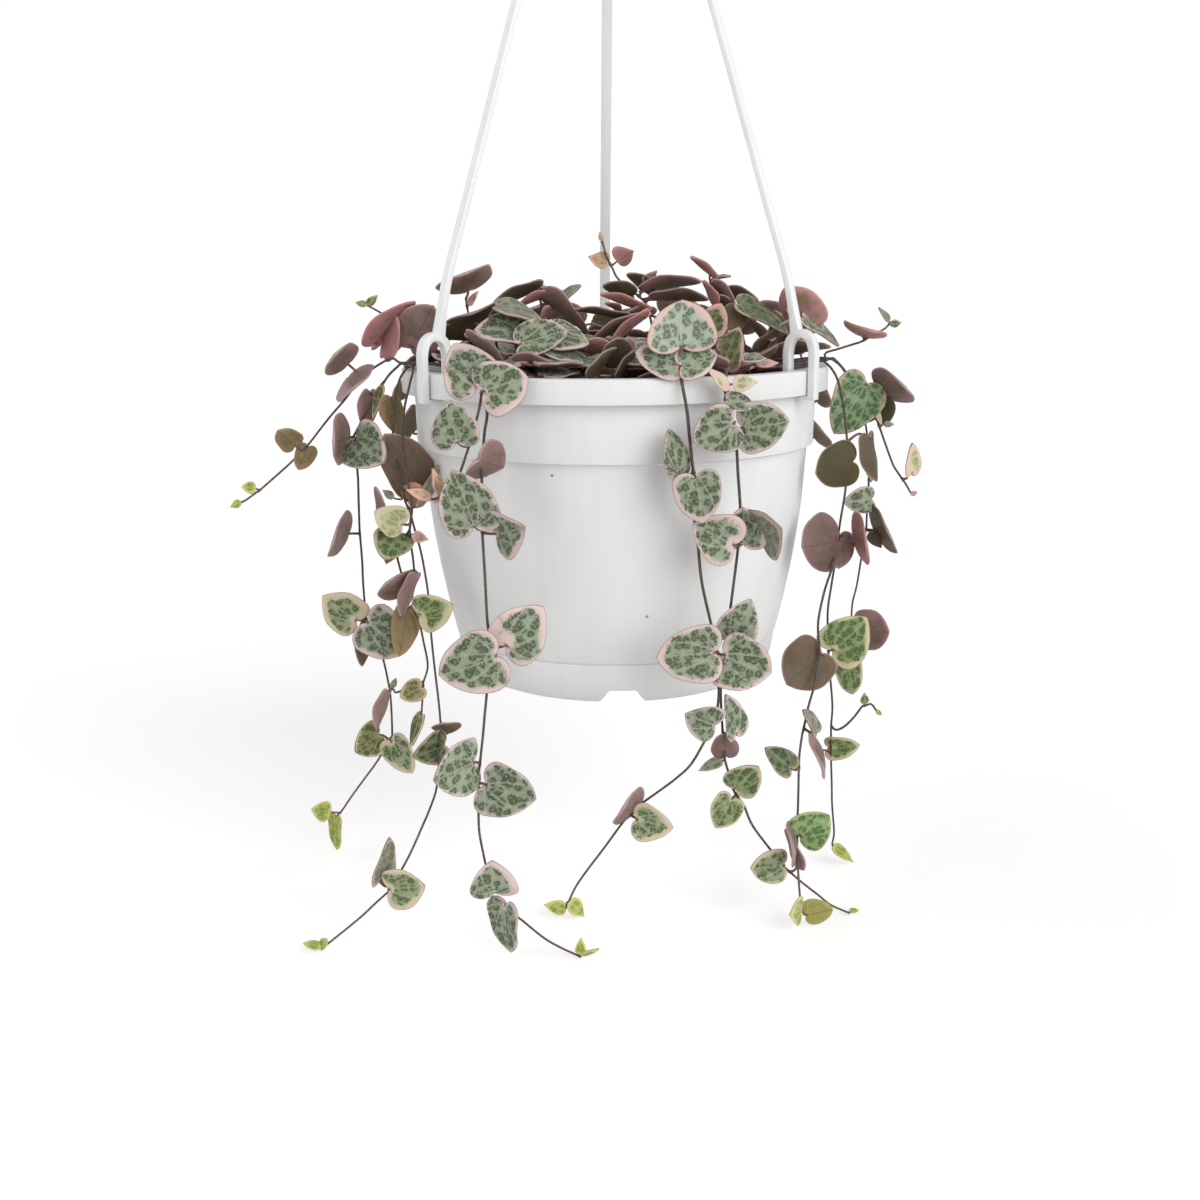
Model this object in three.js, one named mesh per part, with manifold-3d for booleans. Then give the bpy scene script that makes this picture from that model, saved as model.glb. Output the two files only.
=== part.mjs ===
// String of hearts (a trailing plant with heart shaped leaves) in a round hanging pot.
// Everything is laid out in millimetres with the middle of the rim's top plane at the origin, and is
// moved at the end so that the origin is the point under the hook that the whole thing hangs from.
import * as THREE from "three";
import { mergeVertices } from "three/addons/utils/BufferGeometryUtils.js";
import Module from "manifold-3d";

const wasm = await Module();
wasm.setup();

// ---- driving dimensions -------------------------------------------------------------------------
const RIM_RADIUS = 70;
const RIM_DROP = 7.4;
const WALL_RADIUS = 66.1;
const COLLAR_DROP = 25;
const FOOT_SEAM = -88.9;
const POT_HEIGHT = 103;
const FOOT_RADIUS = 44.6;
const POT_SIDES = 28;
const FOOT_NOTCHES = 4;
const NOTCH_TURN = 1.5;
const SOIL_TOP = -4.5;
const SOIL_SIDES = 20;
const ROOT_DEPTH = 11;
const HOOK_TO_RIM = 225;
const HOOK_ROD = 1.9;
const HOOK_BEND = 9;
const HUB_RADIUS = 11.5;
const HUB_LOW = 193;
const HUB_HIGH = 199;
const ARM_ANGLES = { left: 214.7, right: 327.5, back: 92.5 };
const ARM_WIDTH = 3.6;
const GAP = 0.3;
const SURFACE = -169.6;
const TRAIL = -168.9;
const STEM_SIDES = 3;
const LEAF_THICK = 1.8;
const PETIOLE = 0.42;
const LEAF_GAP = 0.3;
const OWN_GAP = 0.05;
const MERGE_STEPS = [0.001, 0.003];
const SMALLEST_EDGES = [0.16, 0.13, 0.2, 0.1, 0.24, 0.07, 0.3, 0.04];
const SMALLEST_BEND = 0.55;
const SEED = 41;

// ---- materials ----------------------------------------------------------------------------------
const WHITE_PLASTIC = { color: 0xf1f1ee, roughness: 0.42, metalness: 0 };
const SOIL_BROWN = { color: 0x3a2c22, roughness: 0.95, metalness: 0 };
const LEAF_GREEN = { color: 0x7f9482, roughness: 0.5, metalness: 0 };

// ---- solids -------------------------------------------------------------------------------------
function signedVolume(positions, triangles) {
  let sum = 0;
  for (const [a, b, c] of triangles) {
    sum += positions[a].dot(new THREE.Vector3().crossVectors(positions[b], positions[c]));
  }
  return sum / 6;
}

function solidFrom(positions, triangles) {
  const flip = signedVolume(positions, triangles) < 0;
  const vertProperties = new Float32Array(positions.flatMap((p) => [p.x, p.y, p.z]));
  const triVerts = new Uint32Array(triangles.flatMap(([a, b, c]) => (flip ? [a, c, b] : [a, b, c])));
  return new wasm.Manifold(new wasm.Mesh({ numProp: 3, vertProperties, triVerts }));
}

function solidFromGeometry(geometry) {
  geometry.deleteAttribute("normal");
  geometry.deleteAttribute("uv");
  const merged = mergeVertices(geometry, 1e-4);
  const place = merged.getAttribute("position");
  const positions = [];
  for (let i = 0; i < place.count; i += 1) {
    positions.push(new THREE.Vector3().fromBufferAttribute(place, i));
  }
  const index = merged.index.array;
  const triangles = [];
  for (let i = 0; i < index.length; i += 3) {
    const [a, b, c] = [index[i], index[i + 1], index[i + 2]];
    if (a !== b && b !== c && c !== a) {
      triangles.push([a, b, c]);
    }
  }
  return solidFrom(positions, triangles);
}

function joined(solids) {
  return solids.reduce((whole, next) => whole.add(next));
}

// Only the largest body of a joined solid is kept, so no loose scrap and no sealed space is left.
function largest(solid) {
  return solid.decompose().reduce((best, body) => (body.volume() > best.volume() ? body : best));
}

// The surface of a solid in the finished part's own frame.
function surfaceOf(solid) {
  const data = solid.getMesh();
  const geometry = new THREE.BufferGeometry();
  geometry.setAttribute("position", new THREE.BufferAttribute(new Float32Array(data.vertProperties), 3));
  geometry.setIndex(new THREE.BufferAttribute(new Uint32Array(data.triVerts), 1));
  geometry.translate(0, 0, -HOOK_TO_RIM);
  return geometry;
}

// Whether a solid meets itself along an edge or at a corner once near vertices are merged.
function isPinched(solid) {
  const geometry = surfaceOf(solid);
  return MERGE_STEPS.some((step) => {
    const index = mergeVertices(geometry, step).index.array;
    const uses = new Map();
    const corners = new Map();
    for (let i = 0; i < index.length; i += 3) {
      for (let k = 0; k < 3; k += 1) {
        const [a, b, c] = [index[i + k], index[i + ((k + 1) % 3)], index[i + ((k + 2) % 3)]];
        const edge = `${Math.min(a, b)} ${Math.max(a, b)}`;
        if (a !== b && b !== c && c !== a) {
          uses.set(edge, (uses.get(edge) || 0) + 1);
          corners.set(a, [...(corners.get(a) || []), [b, c]]);
        }
      }
    }
    return [...uses.values()].some((count) => count !== 2) || [...corners.values()].some(isSplit);
  });
}

// Whether the faces round a vertex make more than one ring.
function isSplit(pairs) {
  const after = new Map(pairs);
  let at = pairs[0][0];
  let steps = 0;
  do {
    at = after.get(at);
    steps += 1;
  } while (at !== undefined && at !== pairs[0][0] && steps < pairs.length);
  return steps !== pairs.length;
}

function oneBody(solid) {
  const whole = largest(solid);
  for (const edge of SMALLEST_EDGES) {
    const option = largest(whole.simplify(edge));
    if (!isPinched(option)) {
      return option;
    }
  }
  return whole;
}

function meshFrom(name, solid, look) {
  const geometry = surfaceOf(solid);
  geometry.computeVertexNormals();
  const mesh = new THREE.Mesh(geometry, new THREE.MeshStandardMaterial(look));
  mesh.name = name;
  return mesh;
}

// ---- pot and soil -------------------------------------------------------------------------------
function turned(profile, sides) {
  const points = profile.map(([r, z]) => new THREE.Vector2(r, z));
  const geometry = new THREE.LatheGeometry(points, sides);
  geometry.rotateX(Math.PI / 2);
  return solidFromGeometry(geometry);
}

function makePot() {
  const profile = [
    [0, -97.4], [41.8, -97.4], [42.2, -POT_HEIGHT], [FOOT_RADIUS, -POT_HEIGHT], [50.2, -100], [52.7, -95],
    [53.6, FOOT_SEAM], [54.1, FOOT_SEAM + 0.5], [59.2, -65], [62.2, -44.5], [63.4, -25.6],
    [65.5, -COLLAR_DROP], [WALL_RADIUS, -1.8], [68.5, -1.8], [68.5, -RIM_DROP],
    [RIM_RADIUS, -RIM_DROP], [RIM_RADIUS, -0.4], [69.6, 0], [64.8, 0],
    [64.4, -24.8], [61.8, -26], [57.5, -65], [52, -89], [48.6, -95.6], [0, -95.6],
  ];
  let pot = turned(profile, POT_SIDES);
  for (let i = 0; i < FOOT_NOTCHES; i += 1) {
    const notch = new THREE.Shape([
      new THREE.Vector2(-7.35, -POT_HEIGHT - 1), new THREE.Vector2(7.35, -POT_HEIGHT - 1),
      new THREE.Vector2(7.35, -POT_HEIGHT), new THREE.Vector2(4.2, -97.4), new THREE.Vector2(-4.2, -97.4),
      new THREE.Vector2(-7.35, -POT_HEIGHT),
    ]);
    const cutter = new THREE.ExtrudeGeometry(notch, { depth: 14, bevelEnabled: false });
    cutter.rotateX(Math.PI / 2);
    cutter.translate(0, -38, 0);
    cutter.rotateZ(THREE.MathUtils.degToRad(NOTCH_TURN + (360 / FOOT_NOTCHES) * i));
    pot = pot.subtract(solidFromGeometry(cutter));
  }
  return oneBody(pot);
}

function makeSoil(roots) {
  const profile = [
    [0, -95.2], [48.2, -95.2], [51.4, -89], [56.8, -65], [60.6, -26.2], [63.1, -24.7], [63.5, SOIL_TOP], [0, SOIL_TOP],
  ];
  let soil = turned(profile, SOIL_SIDES);
  for (const root of roots) {
    const low = new THREE.Vector3(root.x, root.y, SOIL_TOP - ROOT_DEPTH - 0.5);
    const high = new THREE.Vector3(root.x, root.y, SOIL_TOP + 2);
    soil = soil.subtract(tube([low, high], () => root.radius + 0.45, STEM_SIDES));
  }
  return oneBody(soil);
}

// ---- hanger -------------------------------------------------------------------------------------
// A flat band in the upright plane through the pot's axis: rows of radius, height, half thickness.
function band(rows, width, angle) {
  const left = [];
  const right = [];
  rows.forEach(([r, z, half], i) => {
    const before = rows[Math.max(i - 1, 0)];
    const after = rows[Math.min(i + 1, rows.length - 1)];
    const along = new THREE.Vector2(after[0] - before[0], after[1] - before[1]).normalize();
    left.push(new THREE.Vector2(r - along.y * half, z + along.x * half));
    right.unshift(new THREE.Vector2(r + along.y * half, z - along.x * half));
  });
  return plate([...left, ...right], width, angle);
}

function plate(outline, width, angle) {
  const geometry = new THREE.ExtrudeGeometry(new THREE.Shape(outline), { depth: width, bevelEnabled: false });
  geometry.translate(0, 0, -width / 2);
  geometry.rotateX(Math.PI / 2);
  geometry.rotateZ(THREE.MathUtils.degToRad(angle));
  return solidFromGeometry(geometry);
}

const ARM_LEAN = 0.328;
const ARM_RISE = [31.5, 61.3];
function armRadius(z) {
  return ARM_RISE[1] - ARM_LEAN * (z - ARM_RISE[0]);
}

function makeArm(angle) {
  const fork = band([
    [71.6, -8.9, 1.05], [71.6, 5.5, 1.1], [70.9, 8.7, 1.15], [69.3, 10.6, 1.2], [67.35, 11.2, 1.3],
    [65.4, 10.6, 1.2], [63.8, 8.7, 1.15], [63.1, 5.5, 1.05], [63.1, -3, 1],
  ], ARM_WIDTH, angle);
  const strap = band([
    [65.7, 11.6, 1.4], [65.1, 15, 1.1], [63.9, 21, 0.9], [ARM_RISE[1], ARM_RISE[0], 0.85],
    [54.7, 51.5, 0.8], [armRadius(200.5), 200.5, 0.8],
  ], ARM_WIDTH, angle);
  const tooth = plate([
    new THREE.Vector2(72.3, -8.9), new THREE.Vector2(67.5, -8.9), new THREE.Vector2(67.5, -8.3),
    new THREE.Vector2(68.3, -7.75), new THREE.Vector2(72.3, -7.75),
  ].reverse(), ARM_WIDTH, angle);
  const middle = armRadius(200.3);
  const head = plate([
    new THREE.Vector2(middle - 2, HUB_HIGH + GAP), new THREE.Vector2(middle + 2, HUB_HIGH + GAP),
    new THREE.Vector2(middle + 1.5, HUB_HIGH + 2.2), new THREE.Vector2(middle - 1.5, HUB_HIGH + 2.2),
  ], ARM_WIDTH + 3.2, angle);
  return oneBody(joined([fork, strap, tooth, head]));
}

function makeHook() {
  let hub = turned([
    [0, HUB_LOW], [HUB_RADIUS - 1.5, HUB_LOW], [HUB_RADIUS, HUB_LOW + 1.5], [HUB_RADIUS, HUB_HIGH - 1],
    [HUB_RADIUS - 1, HUB_HIGH], [0, HUB_HIGH],
  ], 18);
  for (const angle of Object.values(ARM_ANGLES)) {
    const slot = band([
      [armRadius(HUB_LOW - 3), HUB_LOW - 3, 0.8 + GAP], [armRadius(HUB_HIGH + 3), HUB_HIGH + 3, 0.8 + GAP],
    ], ARM_WIDTH + 2 * GAP, angle);
    hub = hub.subtract(slot);
  }
  const top = HOOK_TO_RIM + HOOK_ROD;
  const middle = top - HOOK_BEND;
  const path = new THREE.CatmullRomCurve3([
    new THREE.Vector3(0, 0, HUB_HIGH - 2), new THREE.Vector3(0, 0, HUB_HIGH + 3.5),
    new THREE.Vector3(1.4, 0, middle - 11), new THREE.Vector3(6.8, 0, middle - 6.7),
    new THREE.Vector3(HOOK_BEND, 0, middle), new THREE.Vector3(6.36, 0, middle + 6.36),
    new THREE.Vector3(0, 0, top), new THREE.Vector3(-6.36, 0, middle + 6.36),
    new THREE.Vector3(-HOOK_BEND, 0, middle), new THREE.Vector3(-8.2, 0, middle - 4.4),
  ]);
  const section = new THREE.Shape();
  section.absarc(0, 0, HOOK_ROD, 0, Math.PI * 2);
  const rod = new THREE.ExtrudeGeometry(section, { steps: 12, curveSegments: 4, bevelEnabled: false, extrudePath: path });
  return oneBody(hub.add(solidFromGeometry(rod)));
}

// ---- stems --------------------------------------------------------------------------------------
function tube(points, radiusAt, sides) {
  const rings = [];
  let side = new THREE.Vector3(1, 0, 0);
  points.forEach((point, i) => {
    const before = points[Math.max(i - 1, 0)];
    const after = points[Math.min(i + 1, points.length - 1)];
    const along = new THREE.Vector3().subVectors(after, before).normalize();
    side = side.clone().addScaledVector(along, -side.dot(along)).normalize();
    const other = new THREE.Vector3().crossVectors(along, side);
    const ring = [];
    for (let k = 0; k < sides; k += 1) {
      const turn = ((k + 0.5) / sides) * Math.PI * 2;
      const spoke = side.clone().multiplyScalar(Math.cos(turn)).addScaledVector(other, Math.sin(turn));
      ring.push(point.clone().addScaledVector(spoke, radiusAt(i / (points.length - 1))));
    }
    rings.push(ring);
  });
  const positions = rings.flat();
  const triangles = [];
  for (let i = 0; i + 1 < rings.length; i += 1) {
    for (let k = 0; k < sides; k += 1) {
      const a = i * sides + k;
      const b = i * sides + ((k + 1) % sides);
      triangles.push([a, b, b + sides], [a, b + sides, a + sides]);
    }
  }
  const last = (rings.length - 1) * sides;
  for (let k = 1; k + 1 < sides; k += 1) {
    triangles.push([0, k + 1, k], [last, last + k, last + k + 1]);
  }
  return solidFrom(positions, triangles);
}

// ---- leaves -------------------------------------------------------------------------------------
// Outline of one half of a leaf: along the midrib, and across it, as shares of length and half width.
const HEART_EDGE = [[-0.17, 0.5], [0.12, 1], [0.62, 0.68]];
const YOUNG_EDGE = [[0.1, 0.8], [0.55, 0.8]];
const LEAF_MIDDLE = 0.36;
const FOLD = 0.16;
const TIP_CURL = 0.09;

// A leaf is a thin cushion that joins its own three sided petiole at the notch, as one closed body.
// A bare one is the cushion alone.
function leafMesh(leaf, bare) {
  const { root, base, ahead, face, length, width } = leaf;
  const across = new THREE.Vector3().crossVectors(ahead, face);
  const young = isYoung(length, width);
  const edge = young ? YOUNG_EDGE : HEART_EDGE;
  const spot = (u, v, lift) => base.clone()
    .addScaledVector(ahead, u * length)
    .addScaledVector(across, (v * width) / 2)
    .addScaledVector(face, lift);
  const bow = (u, v) => (FOLD * Math.abs(v) ** 1.5 * width) / 2 - TIP_CURL * length * u * Math.abs(u);
  const thick = LEAF_THICK * (young ? 0.75 : 1);
  const positions = [];
  const triangles = [];
  const reach = new THREE.Vector3().subVectors(base, root);
  const middle = root.clone().addScaledVector(reach, 0.55).addScaledVector(ahead, -0.28 * reach.length());
  const stops = bare ? [base] : reach.length() > 5.2 ? [root, middle, base] : [root, base];
  stops.forEach((stop, i) => {
    const along = i === stops.length - 1
      ? ahead.clone()
      : new THREE.Vector3().subVectors(stops[i + 1], stop).normalize();
    let top = face.clone().addScaledVector(along, -face.dot(along));
    if (top.length() < 0.2) {
      top = across.clone().addScaledVector(along, -across.dot(along));
    }
    top.normalize();
    const side = new THREE.Vector3().crossVectors(along, top);
    for (const turn of [0, 120, 240]) {
      const angle = THREE.MathUtils.degToRad(turn);
      positions.push(stop.clone()
        .addScaledVector(top, Math.cos(angle) * PETIOLE)
        .addScaledVector(side, Math.sin(angle) * PETIOLE));
    }
  });
  for (let i = 0; i + 1 < stops.length; i += 1) {
    for (let k = 0; k < 3; k += 1) {
      const a = i * 3 + k;
      const b = i * 3 + ((k + 1) % 3);
      triangles.push([a, b, b + 3], [a, b + 3, a + 3]);
    }
  }
  triangles.push([0, 2, 1]);
  const ring = (stops.length - 1) * 3;
  const rim = [ring + 1];
  for (const [u, v] of edge) {
    positions.push(spot(u, v, bow(u, v)));
    rim.push(positions.length - 1);
  }
  positions.push(spot(1, 0, bow(1, 0)));
  rim.push(positions.length - 1);
  for (const [u, v] of [...edge].reverse()) {
    positions.push(spot(u, -v, bow(u, v)));
    rim.push(positions.length - 1);
  }
  rim.push(ring + 2);
  const upper = positions.push(spot(LEAF_MIDDLE, 0, thick * 0.3)) - 1;
  const lower = positions.push(spot(LEAF_MIDDLE, 0, -thick * 0.7)) - 1;
  for (let i = 0; i + 1 < rim.length; i += 1) {
    triangles.push([upper, rim[i], rim[i + 1]], [lower, rim[i + 1], rim[i]]);
  }
  triangles.push([upper, ring + 2, ring], [upper, ring, ring + 1], [lower, ring + 1, ring + 2]);
  const lowest = Math.min(...positions.map((p) => p.z));
  if (lowest < SURFACE) {
    positions.slice(bare ? 0 : 3).forEach((p) => {
      p.z += SURFACE - lowest;
    });
  }
  return solidFrom(positions, triangles);
}

function isYoung(length, width) {
  return length < 7.5 || width < 5.5;
}

// A leaf that would touch something is tried in these ways, in this order: degrees about its own
// axis, up or down, and sideways, then its size, and how far it is pushed back.
const TRIES = [
  [0, 0, 0, 1, 0], [0, 0, 0, 1, -1.8], [0, 0, 0, 1, 1.8], [0, 14, 0, 1, 0], [0, -14, 0, 1, 0], [0, 0, 14, 1, 0],
  [0, 0, -14, 1, 0], [18, 0, 0, 1, 0], [-18, 0, 0, 1, 0], [0, 0, 0, 1, -3.2], [0, 14, 0, 1, -1.8], [0, -14, 0, 1, 1.8],
  [0, 28, 0, 0.94, 0], [0, -28, 0, 0.94, 0], [0, 0, 30, 0.94, 0], [0, 0, -30, 0.94, 0], [35, 0, 0, 0.9, 0],
  [-35, 0, 0, 0.9, 0], [0, 0, 0, 0.8, -1.8], [0, 0, 0, 0.8, 1.8], [0, 40, 20, 0.8, 0], [0, -40, -20, 0.8, 0],
  [0, 40, -20, 0.8, 0], [0, -40, 20, 0.8, 0], [0, 0, 0, 0.64, 0], [30, 30, 0, 0.64, 0], [-30, -30, 0, 0.64, 0],
];

function turnedLeaf(leaf, [roll, pitch, swing, size, back]) {
  const rad = THREE.MathUtils.degToRad;
  const face = leaf.face.clone().applyAxisAngle(leaf.ahead, rad(roll));
  const across = new THREE.Vector3().crossVectors(leaf.ahead, face);
  const ahead = leaf.ahead.clone().applyAxisAngle(across, rad(pitch));
  face.applyAxisAngle(across, rad(pitch));
  ahead.applyAxisAngle(face, rad(swing));
  const base = leaf.base.clone().setY(leaf.base.y + back);
  return { ...leaf, base, ahead, face, length: leaf.length * size, width: leaf.width * size };
}

// ---- laying out the plant -----------------------------------------------------------------------
// A point of the plant is laid out on an upright sheet, and then moved along the line from one eye
// point to its own depth. One that would lie below the surface the plant trails on comes forward.
const EYE = new THREE.Vector3(-5.5, -500, 30.6);

function pushed(sheet, x, z, y) {
  let share = (y - EYE.y) / (sheet - EYE.y);
  const floor = (TRAIL - EYE.z) / (z - EYE.z);
  if (z < EYE.z && share > floor) {
    share = floor;
  }
  return new THREE.Vector3(
    EYE.x + (x - EYE.x) * share,
    EYE.y + (sheet - EYE.y) * share,
    EYE.z + (z - EYE.z) * share,
  );
}

function onSheet(sheet, rows) {
  return rows.map((row) => [sheet, ...row]);
}

function polar(degrees, radius, z) {
  const angle = THREE.MathUtils.degToRad(degrees);
  return new THREE.Vector3(Math.cos(angle) * radius, Math.sin(angle) * radius, z);
}

// The stretch of a vine from its root, up over the soil and across the rim.
function overRim(angle, rootAngle, rootRadius) {
  const root = polar(rootAngle, rootRadius, SOIL_TOP);
  return [
    root.clone().setZ(SOIL_TOP - ROOT_DEPTH), root.clone().setZ(SOIL_TOP + 1.6),
    polar(rootAngle * 0.5 + angle * 0.5, (rootRadius + 62) / 2, 0.4), polar(angle, 64, 2.2), polar(angle, 70.4, 2),
  ];
}

// Points that hardly bend the line through their neighbours are left out.
function thinned(path) {
  const kept = [path[0]];
  for (let i = 1; i + 1 < path.length; i += 1) {
    const from = kept[kept.length - 1];
    const line = new THREE.Vector3().subVectors(path[i + 1], from).normalize();
    const toPoint = new THREE.Vector3().subVectors(path[i], from);
    const off = toPoint.addScaledVector(line, -toPoint.dot(line)).length();
    if (off > SMALLEST_BEND) {
      kept.push(path[i]);
    }
  }
  return [...kept, path[path.length - 1]];
}

function overSoil(x, y) {
  return [
    new THREE.Vector3(x, y, SOIL_TOP - ROOT_DEPTH), new THREE.Vector3(x, y, SOIL_TOP + 1.2),
  ];
}

// Rows of a stem: sheet, x, z, depth.  Rows of leaves: sheet, x and z of the leaf's base, how far it
// stands off its stem (less is nearer the front), the way it points, its length and width, how far
// its tip turns forward, and its roll (180 shows its underside to the front).
const VINES = [
  {
    name: "vine_front_left",
    start: overRim(237.5, 235, 46),
    stem: onSheet(-63, [
      [-38.9, -1.2, -62.6], [-39.2, -2.8, -63.4], [-37.9, -10, -65], [-38.8, -15.5, -66], [-39.5, -22.8, -67],
      [-40, -30.5, -68], [-40.2, -45.2, -70], [-39.7, -60, -73], [-39.4, -71.5, -75], [-38.5, -79.3, -76],
      [-40.2, -95.7, -78], [-40.9, -101.5, -79], [-41.6, -108, -80],
    ]).concat(onSheet(-70, [
      [-42.5, -117.3, -81], [-43, -133, -82], [-42.5, -139.5, -83], [-39.3, -157.8, -84], [-36.5, -160.5, -85],
      [-31, -165, -86], [-23.7, -171.5, -88], [-18.1, -175, -88], [-12.5, -177.8, -88],
    ])),
    branches: [
      { stem: onSheet(-63, [
        [-39.2, -2.8, -63.4], [-40.3, -9, -66.5], [-43, -18, -68], [-44, -21, -68.5], [-47.7, -30.5, -69],
        [-51.3, -35, -69], [-55, -35, -69],
      ]) },
    ],
    leaves: onSheet(-63, [
      [-39.7, -1.7, -3.5, 120, 13.5, 16.5, 10, 0], [-38.4, -3.4, -4, 22, 13, 16.5, 8, 0],
      [-40.2, -43, -3.8, 105, 17, 17.5, 12, 20], [-35.2, -45.5, -1, 25, 15, 16.5, 45, 0],
      [-33.6, -79.5, -1, 42, 16.2, 17.5, 8, 0], [-38.6, -81.5, -3.5, 203, 17.7, 20, 8, 0],
      [-46.9, -19, -1.5, 100, 12.5, 14.4, 15, 0], [-40.6, -23.2, -3.5, -35, 12, 14.5, -60, 180],
      [-52.5, -33.6, -1, 100, 8, 4.4, 0, 50], [-55, -35, 0, 155, 8, 4, 0, 40], [-54.5, -35.6, 0, 20, 6.5, 3.4, 0, 60],
    ]).concat(onSheet(-70, [
      [-46.9, -117.3, -1.5, 185, 15, 17.5, 50, 0], [-40, -121.3, -3, -22, 15.2, 18, 8, 0],
      [-39.5, -156, -1.5, 97, 12, 15, 20, 0], [-38.3, -160, -1.5, -93, 15.8, 14, 0, 45],
      [-12.5, -177, -0.8, 90, 5.4, 3.6, 0, 0], [-12.5, -177, -0.6, 8, 6, 3.2, 0, 40],
    ])),
  },
  {
    name: "vine_front_right_left",
    start: overRim(284.5, 288, 46),
    stem: onSheet(-67, [
      [18.2, 1.2, -67.6], [18.6, -1.5, -70], [20.1, -9.5, -71], [20.8, -16.5, -71], [22.2, -28.8, -71], [22.5, -42.3, -71],
      [23.4, -48, -71], [24.7, -60, -72], [27.8, -74, -73], [28.9, -81, -74], [30, -92, -74], [29.6, -99, -74],
    ]).concat(onSheet(-75, [
      [27, -103, -74], [21.7, -113, -73], [17.2, -117.7, -72], [12, -121.8, -71], [6, -126.2, -70], [0.7, -132, -68],
      [-4.9, -140, -66], [-10, -147, -64], [-13.5, -152.3, -62], [-16, -157, -60],
    ])),
    branches: [],
    leaves: onSheet(-67, [
      [18.6, 4.9, 3, 100, 14, 19.4, 6, 0], [18.2, 2.6, -3, 202, 13, 10.5, 10, 25], [19, 2.3, -2.5, 30, 11.5, 10.5, 10, -25],
      [18.3, -27, -1, 99, 12.6, 12.6, 0, 45], [22.7, -29.8, -3, -80, 13.2, 14.5, 12, 0],
      [28.2, -81.3, -4, 182, 17, 18.2, 6, 0], [31.8, -82.3, -3, -26, 14.6, 18, 10, 0], [28.6, -104.5, -1, 150, 10, 12, 20, 0],
    ]).concat(onSheet(-75, [
      [7, -125, 1.5, 145, 11, 14, 66, 180], [5.4, -130.8, -3, -8, 11.2, 13, 16, 0], [-16, -157, -0.5, 163, 7.6, 5, 0, 45],
      [-16, -157, -0.3, -38, 7.4, 4, 0, 50],
    ])),
  },
  {
    name: "vine_front_right",
    start: overRim(296.5, 302, 45),
    stem: onSheet(-67, [
      [31, -1, -66.6], [31.5, -8, -68.5], [33.4, -13, -69], [34.6, -21.3, -69], [35, -27.5, -69], [35.8, -38, -69],
      [35.4, -48.6, -69], [34.6, -56, -69.5], [33.4, -66.3, -70], [32, -77, -70.5], [30.6, -92, -70], [31.2, -105, -69],
      [32, -115, -68],
    ]).concat(onSheet(-75, [
      [34.2, -122.3, -67], [37.3, -127, -66], [39.5, -132.5, -65], [43.2, -138, -64], [50.1, -147, -62],
      [55, -151.5, -61], [60.1, -155.7, -60], [64, -159, -59], [69.9, -161.8, -58],
    ])),
    branches: [],
    leaves: onSheet(-67, [
      [31.8, -3.6, -3, 125, 9.4, 6, 0, 45], [32.4, -2.8, -3, 5, 8.6, 8, 10, 30], [32, -6.5, -3, -8, 10, 8, 10, 30],
      [33, -13.3, -3.5, 207, 12, 14.5, 12, 0], [36.6, -14.3, -2, 4, 13, 15.4, 12, 0], [33.6, -48.5, -3, 151, 13, 15.8, 8, 0],
      [42.1, -46.8, 0, 25, 13, 17.3, 72, 180], [32.6, -76.8, -2.5, 60, 13.2, 13.6, 10, 0],
      [35.1, -106.5, -1, 95, 13, 12.4, 0, 52], [31, -114, 1, 95, 8.6, 8.6, 20, 180], [31.4, -116, 0.5, 200, 8, 4.6, 0, 50],
    ]).concat(onSheet(-75, [
      [34.8, -122.3, -2.5, 50, 9.4, 11.2, 10, 0], [33.4, -124.5, -1.5, 240, 11.4, 11, 10, 0],
      [49, -146, -2, 180, 11, 11.8, 14, 0], [51.5, -144.6, 0.5, 105, 14, 9, 0, 112], [69.9, -161.8, 0, -10, 3, 2, 0, 0],
    ])),
  },
  {
    name: "vine_left_far",
    start: overRim(192, 190, 47),
    stem: onSheet(-15, [
      [-71, 3.4, -14.8], [-74.1, 2.5, -15], [-79.6, -0.9, -15], [-83.5, -4.7, -15], [-87.3, -9.6, -15],
      [-92.7, -15.5, -15], [-99.5, -23.7, -15], [-106.3, -30.3, -15], [-112.2, -35.3, -15], [-115.9, -38.4, -15],
      [-121.1, -42, -15], [-123, -42.9, -15],
    ]),
    branches: [],
    leaves: onSheet(-15, [
      [-86.1, -1.8, 0.5, 135, 12, 14.4, 66, 180], [-83.6, -5.2, 2.5, -46, 13, 17, 60, 180], [-104.3, -24, 0, 128, 7.6, 9.8, 24, 180],
      [-100, -25, 1, -112, 8.8, 10, 20, 180], [-118, -38, 0, 175, 4.8, 4.6, 10, 0], [-123, -42.9, 0, 200, 4.4, 3, 0, 20],
    ]),
  },
  {
    name: "vine_left_outer",
    start: overRim(195.5, 197, 42),
    stem: onSheet(-17, [
      [-69.5, 1, -18.4], [-72, -1.2, -18.6], [-75.5, -5.6, -19], [-78, -9.7, -19], [-80.9, -14.6, -19], [-83.6, -19.5, -19],
      [-84.8, -21.5, -19], [-84.2, -28, -18.6], [-83.8, -34.5, -18], [-83.9, -42, -18], [-84, -51.8, -17], [-83.6, -62.3, -16],
      [-83.6, -69.3, -15], [-83.2, -81.3, -14], [-78.5, -93.7, -13], [-76.7, -103, -12], [-76, -110, -12],
      [-76, -121.8, -11], [-81.2, -131, -10], [-86, -137.5, -9], [-90.3, -143.3, -8], [-94.6, -149.5, -7],
    ]),
    branches: [],
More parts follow.
